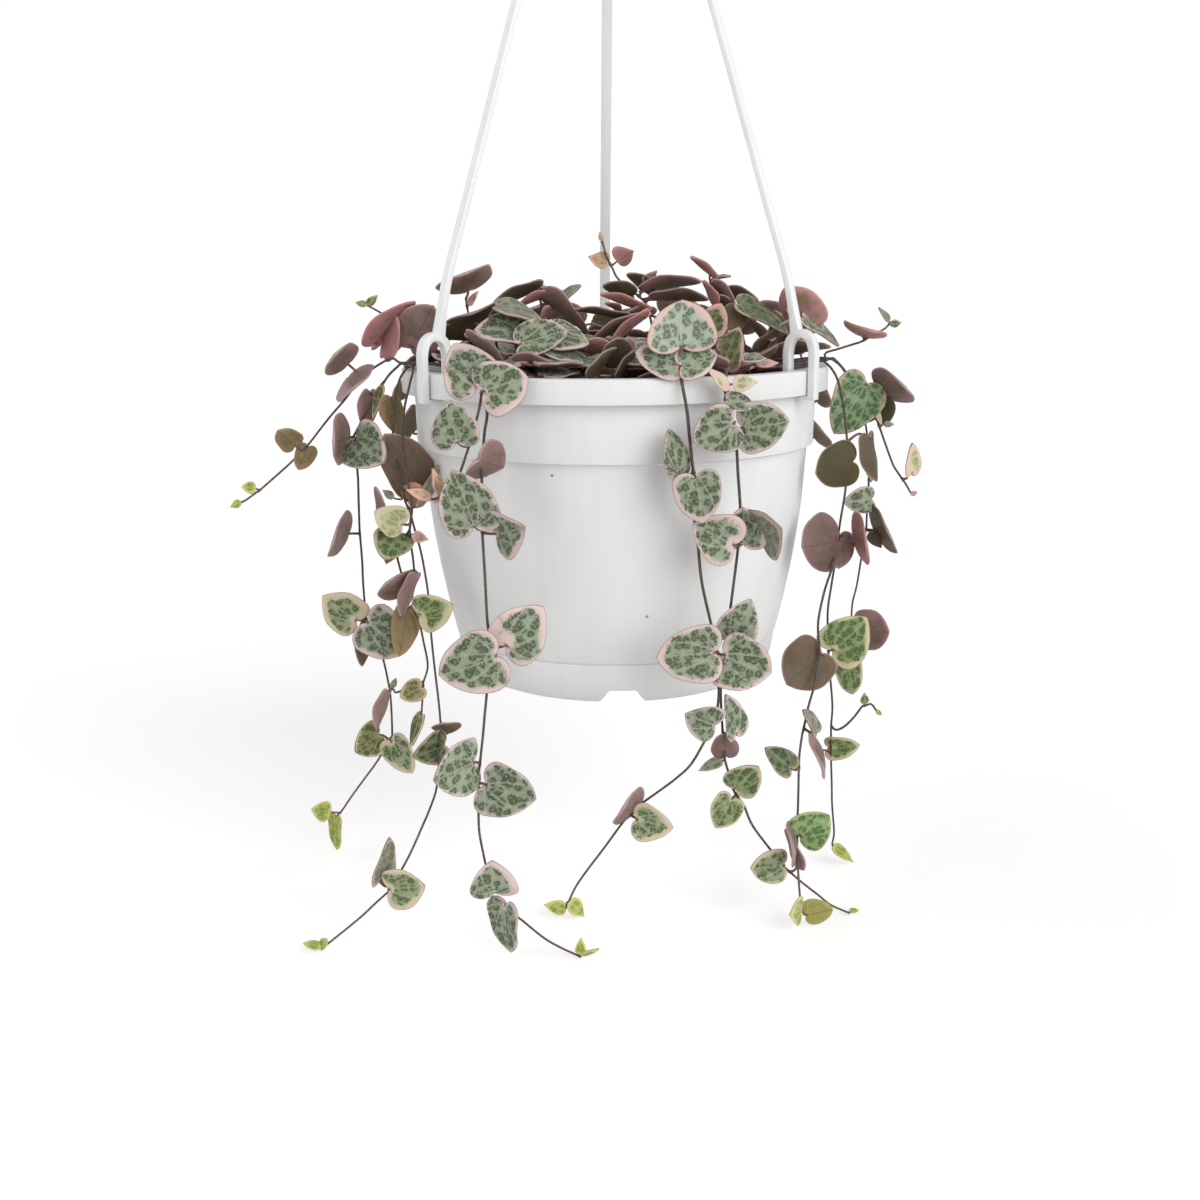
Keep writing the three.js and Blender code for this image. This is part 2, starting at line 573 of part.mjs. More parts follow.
    leaves: onSheet(-17, [
      [-86.6, -21.6, 0, 180, 14, 17, 64, 180], [-84.4, -22, -3, -38, 17, 19, 42, 0], [-79, -8, 3, -100, 13, 9, 0, 120],
      [-74.5, -5, -2, 250, 12, 5, 0, 50], [-87.4, -51.8, 0, 159, 13, 16.5, 74, 180], [-87.5, -82, -1, 140, 14.8, 16.4, 10, 0],
      [-82.2, -83.2, -3.5, -38, 15.2, 18, 10, 0], [-82.5, -84, 2.5, -103, 14, 9, 0, 130], [-80.8, -122, -0.5, 200, 11, 13, 56, 0],
      [-77, -124.5, -2.5, -55, 14, 12.8, 12, 0], [-98, -149.4, -0.5, 165, 6.8, 8.4, 10, 0], [-94.8, -151, -0.5, -94, 11.4, 8, 0, 45],
    ]),
  },
  {
    name: "vine_left_middle",
    start: overRim(199, 204, 49),
    stem: onSheet(-17, [
      [-66.6, 0.6, -25.6], [-68.8, -2.5, -26], [-70.5, -7.3, -26], [-71.4, -14, -26], [-71.9, -21, -26.5],
      [-71.5, -25.4, -27], [-70.9, -29.5, -27.5], [-70.1, -34.4, -28], [-68.5, -43.2, -29], [-67.4, -45.5, -30],
      [-66.1, -51.2, -31], [-64.5, -57.8, -32], [-63.5, -63.4, -34], [-62.3, -72.9, -37], [-61.7, -87.7, -42],
      [-61, -98, -46], [-60, -110, -50], [-59.5, -119, -53], [-60.2, -128, -56], [-61.5, -140.3, -62],
      [-63.7, -147.3, -66], [-67, -155, -70], [-71.9, -165.6, -76],
    ]).concat(onSheet(-70, [
      [-70.8, -155.2, -79], [-75, -159, -80], [-80, -163.8, -81], [-85.2, -168.2, -82], [-92.5, -174.2, -83],
    ])),
    branches: [],
    leaves: onSheet(-17, [
      [-72, -9.5, 3, -86, 11.5, 10, 0, 130], [-63.8, -38.6, 3.5, 117, 20.5, 17, 8, 180], [-63.6, -42.6, -1, 57, 13, 7, 0, 62],
      [-67.4, -42, 3, 38, 9, 9, 30, 180], [-72.6, -41.5, 0, 140, 4.5, 3, 0, 30], [-64.8, -78.6, -3, 20, 11, 13.4, 10, 0],
      [-59, -122, 3, 190, 12.5, 12.5, 46, 0], [-57, -120.4, 4, 90, 8, 12, 68, 180],
    ]).concat(onSheet(-70, [
      [-74, -151.6, 0.5, 72, 14.8, 12, 0, 55], [-70.6, -154.6, -2, 12, 11, 14.2, 12, 0], [-92.9, -173.8, -0.4, 168, 6, 3.4, 0, 40],
      [-91.4, -174, -0.7, -114, 4.6, 3.2, 0, 25],
    ])),
  },
  {
    name: "vine_left_inner",
    start: overRim(202.5, 210, 41),
    stem: onSheet(-17, [
      [-64.6, 0.4, -32], [-66, -5, -32], [-68, -13, -33], [-68.8, -22, -33.5], [-68, -33, -34], [-66.6, -44, -34.5],
      [-67.6, -52, -33.5], [-67.5, -56, -31], [-66.9, -61, -27.5], [-66.5, -67.5, -24], [-67.5, -74, -22], [-67, -80, -22],
      [-65.5, -83, -22], [-64.3, -90, -22], [-63.3, -96, -22], [-63.4, -99.5, -22], [-64.8, -103.5, -22],
      [-65.3, -109, -22], [-66, -116, -22],
    ]),
    branches: [
      { stem: onSheet(-17, [
        [-67.6, -52, -33.5], [-70.4, -56, -28], [-72, -60.5, -23], [-71.2, -65, -20], [-69.8, -70.5, -19],
      ]) },
      { stem: onSheet(-17, [
        [-64.8, -103.5, -22], [-70, -105.5, -21], [-74, -107.3, -20], [-75.6, -105.4, -20],
      ]) },
    ],
    leaves: onSheet(-17, [
      [-70.4, -50, -1.5, 150, 11, 13.4, 24, 0], [-73.5, -51.5, 2, 92, 14, 9, 0, 125], [-72, -53.5, -2, -112, 14, 17, 62, 0],
      [-73.4, -56.4, 2, -110, 9, 8, 20, 180], [-66.6, -53.6, -2.5, -20, 5.4, 4.4, 10, 0], [-69.5, -72, -1.5, 130, 13, 15, 56, 180],
      [-66.6, -68, -2, 243, 13.4, 8.6, 0, 120], [-70.3, -82.5, 2, -108, 15.5, 13, 16, 180], [-65.8, -103, -1, 205, 7.6, 8, 14, 0],
      [-66, -116, 0, -112, 11, 5.6, 0, 50], [-75.7, -105.6, 0, 247, 12.6, 7, 0, 120], [-75.6, -105.4, 0.2, 62, 3.6, 2.4, 0, 20],
    ]),
  },
  {
    name: "vine_right_inner",
    start: overRim(344, 338, 44),
    stem: onSheet(-15, [
      [66.9, 1.6, -21], [69.4, -0.8, -20], [71.8, -5.2, -20], [74, -15, -20.5], [75.4, -26, -21], [75.4, -33.5, -21], [75, -41, -22],
      [73.7, -50.3, -23], [73, -56.3, -24], [72.6, -62, -24], [71.2, -72.7, -24], [70.4, -79, -24], [70.3, -84, -24],
      [70.8, -93, -24], [71, -98, -24],
    ]).concat(onSheet(-30, [
      [70.2, -108.5, -23], [70, -116, -22], [70.2, -126.5, -21], [70.7, -136, -20], [71, -143.3, -19],
      [71.9, -152.8, -18], [71.4, -157.5, -18],
    ])),
    branches: [
      { stem: onSheet(-15, [
        [73, -56.3, -24], [72, -62, -26.5], [70.5, -67, -28], [68.5, -73, -29], [67, -79.5, -31], [66.7, -84.5, -33], [67.3, -89, -35],
        [67.8, -92.5, -37],
      ]).concat(onSheet(-30, [
        [65.6, -93, -38], [64, -103, -42], [62.5, -109, -45], [60.5, -119.5, -50], [59.8, -126, -53], [59.7, -131.5, -55],
        [59.7, -143, -58], [59.5, -153, -61], [60, -163, -64], [60.5, -170.7, -66], [61.3, -178.5, -67],
        [62.5, -182.5, -68],
      ])) },
      { stem: onSheet(-30, [
        [70, -116, -22], [71.5, -117.5, -22], [74, -116.6, -22], [77, -113.7, -22], [80, -109.5, -22],
        [83, -108.7, -22], [84.7, -111, -22],
      ]) },
    ],
    leaves: onSheet(-15, [
      [77.6, -31, -1.5, 190, 13.8, 15.4, 14, 180], [79.2, -30, 1, -50, 12, 14.6, 20, 180], [72.2, -57, -2, 190, 14, 20, 26, 180],
      [74, -58, 1.5, -60, 12, 12, 20, 180], [79, -56.5, 0, 12, 13, 18.5, 74, 180], [72.5, -94, -2, 42, 15.4, 18, 10, 0],
      [67, -95.5, 2, 215, 15, 18.6, 14, 180],
    ]).concat(onSheet(-30, [
      [65.2, -117.7, 0, 115, 10, 9, 0, 62], [80.7, -108.6, 0, 95, 4, 3.2, 20, 0], [70.5, -123.5, 1, 6, 10, 8.6, 20, 0],
      [58.6, -128.6, -1, 162, 11, 15, 48, 0], [65.5, -126.5, 0, 155, 12, 16, 76, 180], [60.8, -155.4, -2, 25, 11.6, 15, 12, 0],
      [58.9, -156, -1, 190, 12, 15.6, 74, 180], [71.5, -158.5, 0, -35, 9.4, 5.2, 0, 45], [62, -183, -0.5, 172, 7.4, 12, 40, 0],
      [62.9, -183, -0.5, 20, 9.6, 10.4, 10, 180], [84.7, -111, 0, -40, 2.6, 1.8, 0, 0],
    ])),
  },
  {
    name: "vine_right_outer",
    start: overRim(348, 346, 40),
    stem: onSheet(-15, [
      [69.6, 2, -14.6], [73, -0.8, -13], [77, -7.6, -12], [80.5, -16, -11], [82, -25, -10.5], [82.7, -35.5, -10], [82.3, -46.2, -10],
      [82.3, -52.5, -10], [81.2, -60.7, -10], [80.5, -66.3, -10], [79.6, -72.8, -11], [78.4, -78.5, -13], [78.2, -86, -15],
      [77.2, -92, -17],
    ]),
    branches: [],
    leaves: onSheet(-15, [
      [84.6, -16.6, 3, 60, 8.6, 9.6, 20, 180], [83.8, -37.4, 1, 112, 8, 5.2, 0, 55], [81.8, -44.4, -2.5, 184, 9.6, 10, 20, 0],
      [85.4, -51.6, 1, 30, 14, 19.6, 72, 180], [83.6, -54.2, -1, -55, 6.6, 5, 10, 180], [81.2, -88, 2.5, 5, 12, 16.6, 26, 180],
      [75.4, -95.6, -2, -75, 11, 10.4, 10, 0],
    ]),
  },
  {
    name: "vine_right_side",
    start: overRim(351.5, 354, 46),
    stem: onSheet(-15, [
      [70, 2.4, -10.4], [73.8, -1.6, -10.3], [76.4, -6.2, -10], [78.3, -11.3, -9.8], [82.2, -14.4, -11], [84.8, -18, -12.5],
      [86, -21, -14], [87.9, -26, -15], [90.3, -32, -16], [91.9, -34.6, -16], [94.6, -38.3, -16], [96.6, -41.7, -16],
    ]),
    branches: [],
    leaves: onSheet(-15, [
      [83, -17.2, -2.5, 158, 17, 19, 16, 0], [80.9, -12.4, 0.5, 110, 11, 8, 0, 55], [86.4, -11, 0, 49, 13, 16.4, 66, 180],
      [83.2, -12.6, -1, -65, 8, 4, 0, 50], [87, -19, 0, 0, 3.4, 2.4, 0, 30], [96, -35, 0, 88, 9.6, 7, 10, 35],
      [96.6, -41.7, 0, 5, 2.8, 2.4, 0, 20],
    ]),
  },
  {
    name: "shoot_right_pink",
    start: overRim(340, 330, 36),
    stem: onSheet(-15, [
      [67.3, 3.9, -25], [71.7, 5.3, -22], [77, 6.9, -19], [78.5, 7.3, -18], [82.5, 9.5, -17], [86.5, 11.7, -16], [87.8, 13.2, -16],
    ]),
    branches: [],
    leaves: onSheet(-15, [
      [79, 9.8, 0, 70, 11, 14.6, 77, 180], [87.6, 13.8, 0, 125, 5.6, 3.2, 0, 45], [87.9, 13, 0, 8, 3.8, 3, 0, 20],
    ]),
  },
];

const SHOOTS = [
  {
    name: "shoot_left_edge", root: [-52, -2],
    stem: onSheet(-15, [[-57, 3, -5], [-63, 5.4, -8], [-66, 7.5, -10], [-70, 14, -11], [-74.5, 17.8, -11], [-79, 20.3, -11]]),
    leaves: onSheet(-15, [
      [-65.3, 7.6, -2, 57, 17, 16, 22, 180], [-69.5, 7.4, -1, 66, 13, 10, 0, 130], [-73.5, 12.4, 1.5, 44, 17.5, 14, 0, 125],
      [-79, 20.3, 0, 165, 3.8, 2.6, 0, 20], [-79, 20.5, 0, 36, 4.8, 3, 0, 20],
    ]),
  },
  {
    name: "shoot_left_back", root: [-41, -2],
    stem: onSheet(-40, [[-42.5, 5, -8], [-44, 14, -12], [-45.2, 22.3, -14]]),
    leaves: onSheet(-40, [
      [-45, 24.5, 0, 108, 13, 18.6, 64, 180], [-44.2, 20.5, -0.5, 62, 5, 3.2, 0, 40], [-42.6, 15.6, -2, 118, 13, 16.5, 58, 180],
      [-46.4, 12, -1, 175, 10, 10, 50, 180],
    ]),
  },
  {
    name: "shoot_left_middle", root: [-22, -2],
    stem: onSheet(-40, [[-21.5, 6, -6], [-22, 14, -9], [-22.3, 19.5, -10], [-23.4, 24.8, -10]]),
    leaves: onSheet(-40, [
      [-24.5, 26, 0, 195, 13, 10, 0, 128], [-21, 22.6, -2, 190, 9, 7, 0, 118], [-17.4, 22.8, 1, 36, 6.6, 4.4, 0, 50],
      [-20.4, 21, -2, -36, 16.5, 12.5, 0, 122],
    ]),
  },
  {
    name: "shoot_left_front", root: [-33, -28],
    stem: onSheet(-40, [[-35, 3, -32], [-36.5, 10, -34], [-37.8, 14.6, -36]]),
    leaves: onSheet(-40, [
      [-38.6, 15.9, -2.5, -42, 12, 16, 40, 0], [-42, 9.5, 0, -35, 13.4, 10, 0, 122], [-34, 18.4, 2.5, -18, 10, 8.6, -30, 0],
    ]),
  },
  {
    name: "shoot_centre_front", root: [-19, -36],
    stem: onSheet(-40, [[-19.4, 3, -40], [-19, 8, -41], [-18.4, 13.6, -42]]),
    leaves: onSheet(-40, [
      [-17.6, 14.4, -2.5, 205, 12.5, 12.6, 26, 0], [-15.4, 14, 1.5, -38, 9.6, 10, 20, 0], [-18.6, 5.4, -2, -12, 13, 10, 0, -48],
      [-20, 0.6, -5, 84, 11, 18.4, 70, 180],
    ]),
  },
  {
    name: "shoot_centre", root: [0, -22],
    stem: onSheet(-40, [[0.5, 5, -27], [3, 11, -28], [7.6, 17, -29], [7.4, 20.5, -29]]),
    leaves: onSheet(-40, [
      [-0.6, 15.6, 2, 163, 13.4, 10, 0, 115], [7, 20, 0, 158, 12.8, 8.6, 0, 110], [7.6, 16, -2, 203, 15.4, 9.4, 0, 110],
      [8.8, 15.8, -4.5, 214, 16.5, 9.6, 0, 118], [8.6, 18.6, 0.5, 75, 6, 5.8, 20, 0], [2.4, 12.4, 3, 120, 9, 9, 40, 180],
    ]),
  },
  {
    name: "shoot_centre_low", root: [1, -48],
    stem: onSheet(-40, [[0.6, 0.8, -54]]),
    leaves: onSheet(-40, [[-3.8, 0.6, -3, 72, 8.6, 7, 10, 180], [5, 0.6, -3, 74, 8.8, 7.6, 10, 180], [0.8, 2.6, 2, 95, 10, 10, 30, 180]]),
  },
  {
    name: "shoot_twig", root: [14, 18],
    stem: onSheet(-40, [[12, 8, 10], [10.5, 16, 10], [9, 21, 10], [5.5, 24, 10], [0.7, 28, 10], [-2.5, 34, 10], [-4, 39, 10]]),
    leaves: onSheet(-40, [
      [-1.2, 31.8, 0, 155, 9, 6.4, 10, 0], [0.3, 33.3, 0, 40, 6.8, 7.6, 10, 180], [4, 24.2, 2, 152, 9.8, 9.6, 20, 180],
      [9.6, 25.4, 2, 60, 6, 7.4, 10, 180], [11, 24.6, 0, 10, 15.6, 10.5, 0, 118], [12.6, 20, -2, 3, 16, 10.6, 0, 122],
      [-4, 39, 0, 105, 3, 1.8, 0, 0],
    ]),
  },
  {
    name: "shoot_right_middle", root: [31, 0],
    stem: onSheet(-40, [[30.8, 8, -4], [30.4, 14, -5], [29.6, 20.5, -6], [28.2, 28.4, -6]]),
    leaves: onSheet(-40, [
      [28.7, 29.8, 0, 143, 9, 5.6, 0, 60], [28.4, 28.6, 0, 5, 6.6, 3.6, 0, 55], [29.1, 20.5, -1.5, 112, 7.6, 6, 0, 120],
      [30.2, 26, -0.5, -40, 9.4, 5.6, 0, 115], [32, 23.6, 2, -16, 13.4, 9.6, 0, 125],
    ]),
  },
  {
    name: "shoot_right_front", root: [35, -38],
    stem: onSheet(-40, [[32.4, 2, -46], [30.6, 6.5, -47], [28.6, 12.6, -47]]),
    leaves: onSheet(-40, [
      [28.2, 13.8, -0.5, 62, 9, 9.4, 10, 0], [32.4, 1.8, -2.5, 72, 12.4, 10.6, 10, 20], [38, 3.6, -1, 8, 8, 4.6, 0, 50],
      [42.6, 2.2, -2, 4, 7, 4.4, 0, 50],
    ]),
  },
  {
    name: "shoot_right_back", root: [42, -14],
    stem: onSheet(-40, [[39.6, 6, -20], [38, 13, -22], [37.8, 19, -23]]),
    leaves: onSheet(-40, [
      [38.7, 19.8, -2, -30, 16.6, 12, 0, 52], [36.4, 19.2, -2, -92, 8, 7.4, 10, 180], [47.4, 9, -1, 95, 5, 4, 0, 40],
    ]),
  },
  {
    name: "shoot_right_edge", root: [51, 2],
    stem: onSheet(-15, [[57, 6, -2], [60.4, 10, -6], [62.2, 12.8, -9]]),
    leaves: onSheet(-15, [
      [62, 14.2, 0, 114, 14.8, 15.4, 16, 180], [61.6, 12.8, -3, -30, 13, 9, 0, 50], [60.4, 9.8, -3.5, 118, 10, 5.6, 0, 60],
    ]),
  },
];

function leafFrom(row, paths) {
  const [sheet, x, z, off, way, length, width, forward, roll] = row;
  const rad = THREE.MathUtils.degToRad;
  const far = pushed(sheet, x, z, sheet);
  const line = new THREE.Vector3().subVectors(far, EYE).normalize();
  let root = null;
  let nearest = Infinity;
  for (const path of paths) {
    for (let i = 0; i + 1 < path.length; i += 1) {
      for (let k = 0; k <= 8; k += 1) {
        const spot = path[i].clone().lerp(path[i + 1], k / 8);
        const toSpot = new THREE.Vector3().subVectors(spot, EYE);
        const miss = toSpot.addScaledVector(line, -toSpot.dot(line)).length();
        if (miss < nearest - 1e-9) {
          nearest = miss;
          root = spot;
        }
      }
    }
  }
  const base = pushed(sheet, x, z, root.y + off);
  const share = (base.y - EYE.y) / (sheet - EYE.y);
  const ahead = new THREE.Vector3(
    Math.cos(rad(way)) * Math.cos(rad(forward)),
    -Math.sin(rad(forward)),
    Math.sin(rad(way)) * Math.cos(rad(forward)),
  );
  const face = new THREE.Vector3(0, -1, 0);
  face.addScaledVector(ahead, -face.dot(ahead)).normalize().applyAxisAngle(ahead, rad(roll));
  return { root, base, ahead, face, length: length * share, width: width * share };
}

// ---- growth that is only seen from the sides and the back: a seeded rule -------------------------
function seeded(seed) {
  let state = seed;
  return () => {
    state = (state + 0x6d2b79f5) | 0;
    let t = Math.imul(state ^ (state >>> 15), 1 | state);
    t = (t + Math.imul(t ^ (t >>> 7), 61 | t)) ^ t;
    return ((t ^ (t >>> 14)) >>> 0) / 4294967296;
  };
}

// Hanging stems at the back: angle on the rim, how far they hang, how far down the first pair of
// leaves is, and the step between pairs.
const BACK_VINES = [
  { name: "vine_back_left", angle: 122, hang: 84, first: 13, step: 19 },
  { name: "vine_back_middle_left", angle: 105, hang: 98, first: 25, step: 22 },
  { name: "vine_back_middle", angle: 84, hang: 68, first: 17, step: 20 },
  { name: "vine_back_right", angle: 66, hang: 90, first: 30, step: 19 },
  { name: "vine_side_left", angle: 157, hang: 35, first: 11, step: 14 },
  { name: "vine_side_right", angle: 24, hang: 39, first: 15, step: 14 },
];
const BACK_SHOOTS = [
  { name: "shoot_back_a", x: -46, y: 22, rise: 13, lean: 7 },
  { name: "shoot_back_b", x: -28, y: 40, rise: 17, lean: 6 },
  { name: "shoot_back_c", x: -8, y: 48, rise: 14, lean: 7 },
  { name: "shoot_back_d", x: 14, y: 50, rise: 17, lean: 7 },
  { name: "shoot_back_e", x: 34, y: 40, rise: 13, lean: 7 },
  { name: "shoot_back_f", x: 51, y: 13, rise: 15, lean: 7 },
  { name: "shoot_back_g", x: -22, y: 18, rise: 18, lean: 3 },
  { name: "shoot_back_h", x: 34, y: 20, rise: 18, lean: 3 },
];

function leafOnNode(root, out, side, tilt, swing, length, width, petiole) {
  const up = new THREE.Vector3(0, 0, 1);
  const reach = out.clone().multiplyScalar(0.55).addScaledVector(side, 0.85).addScaledVector(up, 0.1).normalize();
  const base = root.clone().addScaledVector(reach, petiole);
  const face = out.clone().multiplyScalar(Math.cos(tilt)).addScaledVector(up, Math.sin(tilt)).normalize();
  const level = side.clone().addScaledVector(face, -side.dot(face)).normalize();
  const ahead = level.clone().applyAxisAngle(face, swing);
  return { root, base, ahead, face, length, width };
}

function backVine({ angle, hang, first, step }, draw) {
  const start = overRim(angle, angle, 47);
  const out = polar(angle, 1, 0);
  const side = new THREE.Vector3(-out.y, out.x, 0);
  const path = [...start, polar(angle, 72, 0), polar(angle, 72.8, -6)];
  const leaves = [];
  const drift = (draw() - 0.5) * 0.12;
  let drop = first;
  for (let knots = 0; drop < hang; knots += 1) {
    const sway = drift * drop + (draw() - 0.5) * 1.6;
    const knot = polar(angle, 73.4 + draw() * 1.2 - drop * 0.012, -drop).addScaledVector(side, sway);
    path.push(knot);
    if (knots % 2 === 0) {
      const young = 1 - 0.5 * (drop / hang) ** 3;
      for (const way of [1, -1]) {
        const length = (12 + draw() * 4) * young;
        const width = length * (1.05 + draw() * 0.12);
        const tilt = 0.1 + draw() * 0.6;
        const swing = way * (0.2 + draw() * 1.1);
        leaves.push(leafOnNode(knot, out, side.clone().multiplyScalar(way), tilt, swing, length, width, 3.6 + draw() * 1.6));
      }
    }
    drop += (step / 2) * (0.88 + draw() * 0.24);
  }
  return { path, leaves };
}

function backShoot({ x, y, rise, lean }, draw) {
  const out = new THREE.Vector3(x, y, 0).normalize();
  const side = new THREE.Vector3(-out.y, out.x, 0);
  const path = overSoil(x, y);
  const leaves = [];
  for (const share of [0.45, 1]) {
    const knot = new THREE.Vector3(x, y, SOIL_TOP + 1.2 + rise * share)
      .addScaledVector(out, lean * share * share).addScaledVector(side, (draw() - 0.5) * 3);
    path.push(knot);
    for (const way of [1, -1]) {
      const length = 11 + draw() * 4.5;
      const width = length * (1.05 + draw() * 0.15);
      const tilt = 0.55 + draw() * 0.8;
      const swing = way * (draw() * 1.5 - 0.3);
      leaves.push(leafOnNode(knot, out, side.clone().multiplyScalar(way), tilt, swing, length, width, 3.4 + draw() * 2));
    }
  }
  return { path, leaves };
}

// ---- the plant, stem by stem --------------------------------------------------------------------
function stemRadius(vine) {
  return (share) => (vine ? 0.66 : 0.6) - 0.2 * share;
}

const draw = seeded(SEED);
const plants = [];
for (const vine of VINES) {
  const path = thinned([...vine.start, ...vine.stem.map((row) => pushed(...row))]);
  const twigs = vine.branches.map((branch) => thinned(branch.stem.map((row) => pushed(...row))));
  const leaves = vine.leaves.map((row) => leafFrom(row, [path, ...twigs]));
  plants.push({ name: vine.name, path, twigs, leaves });
}
for (const shoot of SHOOTS) {
  const path = thinned([...overSoil(...shoot.root), ...shoot.stem.map((row) => pushed(...row))]);
  plants.push({ name: shoot.name, path, twigs: [], leaves: shoot.leaves.map((row) => leafFrom(row, [path])) });
}
for (const rule of BACK_VINES) {
  plants.push({ name: rule.name, twigs: [], ...backVine(rule, draw) });
}
for (const rule of BACK_SHOOTS) {
  plants.push({ name: rule.name, twigs: [], ...backShoot(rule, draw) });
}
for (const plant of plants) {
  plant.stems = joined([
    tube(plant.path, stemRadius(true), STEM_SIDES),
    ...plant.twigs.map((twig) => tube(twig, stemRadius(false), STEM_SIDES)),
  ]);
}

function apart(solid, other, gap) {
  const a = solid.boundingBox();
  const b = other.boundingBox();
  for (let i = 0; i < 3; i += 1) {
    if (a.min[i] > b.max[i] + gap || b.min[i] > a.max[i] + gap) {
      return true;
    }
  }
  return solid.minGap(other, gap * 2) >= gap;
}

// The first way that keeps a leaf clear of every other piece and of its own stem's other parts, or
// else of every other piece.
function placedLeaf(leaf, others, own) {
  const trials = TRIES.map((attempt) => turnedLeaf(leaf, attempt));
  const clear = trials.filter((trial) => {
    const blade = leafMesh(trial, false);
    return others.every((other) => apart(blade, other, LEAF_GAP));
  });
  const alone = clear.find((trial) => {
    const blade = leafMesh(trial, true);
    return own.every((other) => apart(blade, other, OWN_GAP));
  });
  return alone || clear[0];
}

const roots = plants.map((plant) => ({ x: plant.path[0].x, y: plant.path[0].y, radius: stemRadius(true)(0) }));
const pot = makePot();
const soil = makeSoil(roots);
const hook = makeHook();
const arms = Object.entries(ARM_ANGLES).map(([side, angle]) => [side, makeArm(angle)]);
const still = [pot, soil, hook, ...arms.map((arm) => arm[1])];
const grown = [];
for (const plant of plants) {
  const others = plants.filter((other) => other !== plant).map((other) => other.stems);
  const near = [...still, ...others, ...grown];
  const blades = [];
  for (const leaf of plant.leaves) {
    const placed = placedLeaf(leaf, near, [plant.stems, ...blades]);
    if (placed) {
      blades.push(leafMesh(placed, false));
    }
  }
  grown.push(...blades);
  plant.solid = oneBody(joined([plant.stems, ...blades]));
}

// ---- the object ---------------------------------------------------------------------------------
const plantInPot = new THREE.Group();
plantInPot.add(meshFrom("pot", pot, WHITE_PLASTIC));
plantInPot.add(meshFrom("soil", soil, SOIL_BROWN));
plantInPot.add(meshFrom("hanger_hook", hook, WHITE_PLASTIC));
for (const [side, arm] of arms) {
  plantInPot.add(meshFrom(`hanger_arm_${side}`, arm, WHITE_PLASTIC));
}
for (const plant of plants) {
  plantInPot.add(meshFrom(plant.name, plant.solid, LEAF_GREEN));
}

export default plantInPot;
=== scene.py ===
"""String of hearts in a round hanging pot: fine leaves, stems, soil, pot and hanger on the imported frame."""
import math
import random

import bmesh
import bpy
from mathutils import Matrix, Vector


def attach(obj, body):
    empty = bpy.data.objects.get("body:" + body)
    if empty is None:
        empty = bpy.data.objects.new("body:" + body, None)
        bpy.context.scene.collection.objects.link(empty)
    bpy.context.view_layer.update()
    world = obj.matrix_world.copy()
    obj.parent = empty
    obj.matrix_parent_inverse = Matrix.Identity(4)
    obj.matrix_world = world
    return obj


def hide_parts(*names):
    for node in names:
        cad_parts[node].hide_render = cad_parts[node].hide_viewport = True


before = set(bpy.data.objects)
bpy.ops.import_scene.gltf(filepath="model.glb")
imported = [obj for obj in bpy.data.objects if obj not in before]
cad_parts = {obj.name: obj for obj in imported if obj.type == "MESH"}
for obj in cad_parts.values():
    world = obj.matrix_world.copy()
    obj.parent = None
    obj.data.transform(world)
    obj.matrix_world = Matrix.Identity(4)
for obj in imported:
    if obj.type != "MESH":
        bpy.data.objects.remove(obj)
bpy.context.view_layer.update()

# ---- sizes in millimetres, with the middle of the rim's top plane as the origin ------------------
MM = 0.001
HOOK_TO_RIM = 225
SOIL_TOP = -4.5
ROOT_DEPTH = 11
SURFACE = -169.6
TRAIL = -168.9
FLOOR = -170
FOOT_SEAM = -88.9
POT_HEIGHT = 103
LEAF_THICKNESS = 1.2
PETIOLE = 0.42
LEAF_CLEAR = 0.15
FOLD = 0.16
TIP_CURL = 0.09
SEED = 41


def linked(name, data):
    """A new object of the scene."""
    thing = bpy.data.objects.new(name, data)
    bpy.context.scene.collection.objects.link(thing)
    return thing


def smooth(mesh):
    mesh.polygons.foreach_set("use_smooth", [True] * len(mesh.polygons))


def placed(point):
    """A point of the layout, in the frame's metres."""
    return Vector((point[0], point[1], point[2] - HOOK_TO_RIM)) * MM


def srgb(red, green, blue):
    """A paint value from 0 to 255 as a linear colour."""
    def linear(value):
        share = value / 255
        return share / 12.92 if share <= 0.04045 else ((share + 0.055) / 1.055) ** 2.4
    return (linear(red), linear(green), linear(blue))


# ---- laying out the plant ------------------------------------------------------------------------
# A point of the plant is laid out on an upright sheet, and then moved along the line from one eye
# point to its own depth. One that would lie below the surface the plant trails on comes forward.
EYE = Vector((-5.5, -500, 30.6))


def pushed(sheet, x, z, y):
    share = (y - EYE.y) / (sheet - EYE.y)
    if z < EYE.z:
        share = min(share, (TRAIL - EYE.z) / (z - EYE.z))
    return Vector((
        EYE.x + (x - EYE.x) * share, EYE.y + (sheet - EYE.y) * share, EYE.z + (z - EYE.z) * share,
    ))


def on_sheet(sheet, rows):
    return [(sheet, *row) for row in rows]


# A leaf of the crown can also be given as it is seen: where it joins its petiole, how long it looks
# and how broad, in points of a view 1200 points across, next to its true width in millimetres.
# Each sheet has the point where its x and z are 0, and the points of a millimetre across and up.
# EDGE_SEEN is how broad a leaf still looks edge on. A leaf that points sideways leans a few degrees
# more or less, as its top or its underside is seen.
SHEET_VIEWS = {
    -40: {"middle": (614.6, 375.1), "across": 3.28, "up": 3.4},
    -15: {"middle": (617.2, 366.6), "across": 3.13, "up": 3.2},
}
EDGE_SEEN = 1.3
SEEN_LEANS = {"top": -5, "under": 4}
STEEPEST_ROLL = 175


